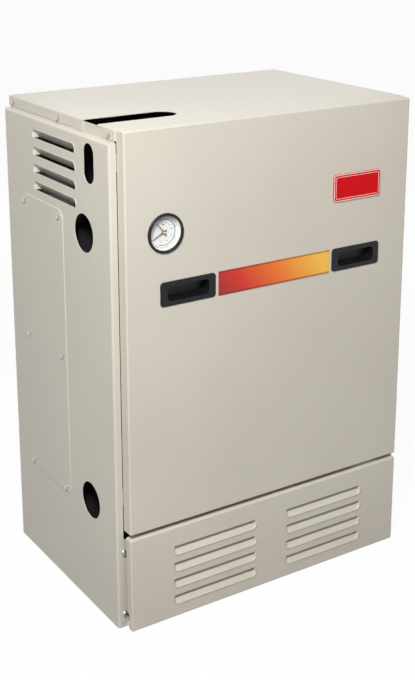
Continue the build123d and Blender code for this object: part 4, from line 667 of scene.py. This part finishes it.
def make_blanket():
    """Foil-faced blanket with quilted dents where its pins hold it."""
    form = bmesh.new()
    loops = []
    for row in range(BLANKET_ROWS + 1):
        level = row / BLANKET_ROWS
        z = BLANKET_FOOT + 1.0 + (BLANKET_TOP - BLANKET_FOOT - 2.0) * level
        loop = []
        for index, (x, y, out_x, out_y) in enumerate(blanket_path()):
            quilt = math.cos(math.pi * index / 3) * math.cos(math.pi * row / 4)
            inward = 0.6 + 1.4 * (1 - quilt)
            loop.append(form.verts.new((x - out_x * inward, y - out_y * inward, z)))
        loops.append(loop)
    bridge_loops(form, loops, closed=False)
    blanket = new_piece("insulation_blanket", form, FINISHES["insulation"], "boiler")
    blanket.data.materials.append(fibre_finish())
    wall = blanket.modifiers.new("wall", "SOLIDIFY")
    wall.thickness = (BLANKET_THICKNESS - BLANKET_SKIN) * MM
    wall.offset = -1.0
    wall.material_offset_rim = 1
    soft = blanket.modifiers.new("soft", "SUBSURF")
    soft.levels = 1
    soft.render_levels = 1
    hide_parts("jacket_insulation")


make_badge_lines()
make_dial_print()
make_blanket()


# Camera, floor and light

def place_camera():
    data = bpy.data.cameras.new("camera")
    data.lens = CAMERA_FOCAL_PX / LONG_SIDE_PX * data.sensor_width
    data.shift_y = CAMERA_SHIFT
    camera = bpy.data.objects.new("camera", data)
    bpy.context.scene.collection.objects.link(camera)
    yaw = math.radians(CAMERA_YAW)
    pitch = math.radians(CAMERA_PITCH)
    forward = Vector((-math.sin(yaw) * math.cos(pitch), math.cos(yaw) * math.cos(pitch), -math.sin(pitch)))
    camera.location = Vector(CAMERA_PLACE) * MM
    camera.rotation_mode = "QUATERNION"
    camera.rotation_quaternion = forward.to_track_quat("-Z", "Y")
    bpy.context.scene.camera = camera


def seen_white(finish):
    """1 for what the camera, a gloss or a clear pane sees, and 0 for the light that reaches surfaces."""
    rays = [finish.node("ShaderNodeLightPath", output=name)
            for name in ("Is Camera Ray", "Is Glossy Ray", "Is Transmission Ray")]
    return (rays[0] + rays[1] + rays[2]).at_most(1.0)


def make_floor():
    """A plain pale floor that shows white and keeps the boiler's shadow."""
    skin = Finish("floor")
    seen = seen_white(skin)
    grain = skin.noise(400, 2.0)
    pale = skin.blend(grain, FLOOR_SHADE, FLOOR_LIGHT)
    skin.set(base_color=skin.blend(seen, FLOOR_BOUNCE, pale), roughness=0.9, specular_ior_level=0.0)
    glow = skin.node("ShaderNodeEmission", inputs={"Color": WHITE, "Strength": 1.0})
    own = Wire(skin, skin.surface.outputs[0])
    shown = skin.node("ShaderNodeMixShader", inputs={0: seen * FLOOR_GLOW, 1: own, 2: glow})
    skin.feed(skin.tree.nodes["Material Output"], {"Surface": shown})

    form = bmesh.new()
    reach = FLOOR_REACH * MM
    corners = [form.verts.new((x * reach, y * reach, 0.0)) for x, y in ((-1, -1), (1, -1), (1, 1), (-1, 1))]
    form.faces.new(corners)
    mesh = bpy.data.meshes.new("floor")
    form.to_mesh(mesh)
    form.free()
    mesh.materials.append(skin.material)
    floor = bpy.data.objects.new("floor", mesh)
    bpy.context.scene.collection.objects.link(floor)


def make_world():
    world = bpy.data.worlds.new("studio")
    world.use_nodes = True
    bpy.context.scene.world = world
    tree = world.node_tree
    tree.nodes.clear()
    room = Finish.__new__(Finish)
    room.tree = tree
    soft = room.node("ShaderNodeBackground", inputs={"Color": WORLD_TINT, "Strength": WORLD_LIGHT})
    white = room.node("ShaderNodeBackground", inputs={"Color": WHITE, "Strength": 1.0})
    shown = room.node("ShaderNodeMixShader", inputs={0: seen_white(room), 1: soft, 2: white})
    output = tree.nodes.new("ShaderNodeOutputWorld")
    room.feed(output, {"Surface": shown})


def make_lamp(name, place, aim, size, power, colour):
    data = bpy.data.lights.new(name, "AREA")
    data.shape = "SQUARE"
    data.size = size * MM
    data.energy = power
    data.color = colour
    lamp = bpy.data.objects.new(name, data)
    bpy.context.scene.collection.objects.link(lamp)
    lamp.location = Vector(place) * MM
    lamp.rotation_mode = "QUATERNION"
    lamp.rotation_quaternion = (Vector(aim) - Vector(place)).to_track_quat("-Z", "Y")


place_camera()
make_floor()
make_world()
make_lamp("key_lamp", KEY_PLACE, KEY_AIM, KEY_SIZE, KEY_POWER, KEY_COLOUR)
make_lamp("fill_lamp", FILL_PLACE, KEY_AIM, FILL_SIZE, FILL_POWER, FILL_COLOUR)
make_lamp("back_lamp", BACK_PLACE, KEY_AIM, BACK_SIZE, BACK_POWER, BACK_COLOUR)
bpy.context.scene.view_settings.view_transform = "Standard"
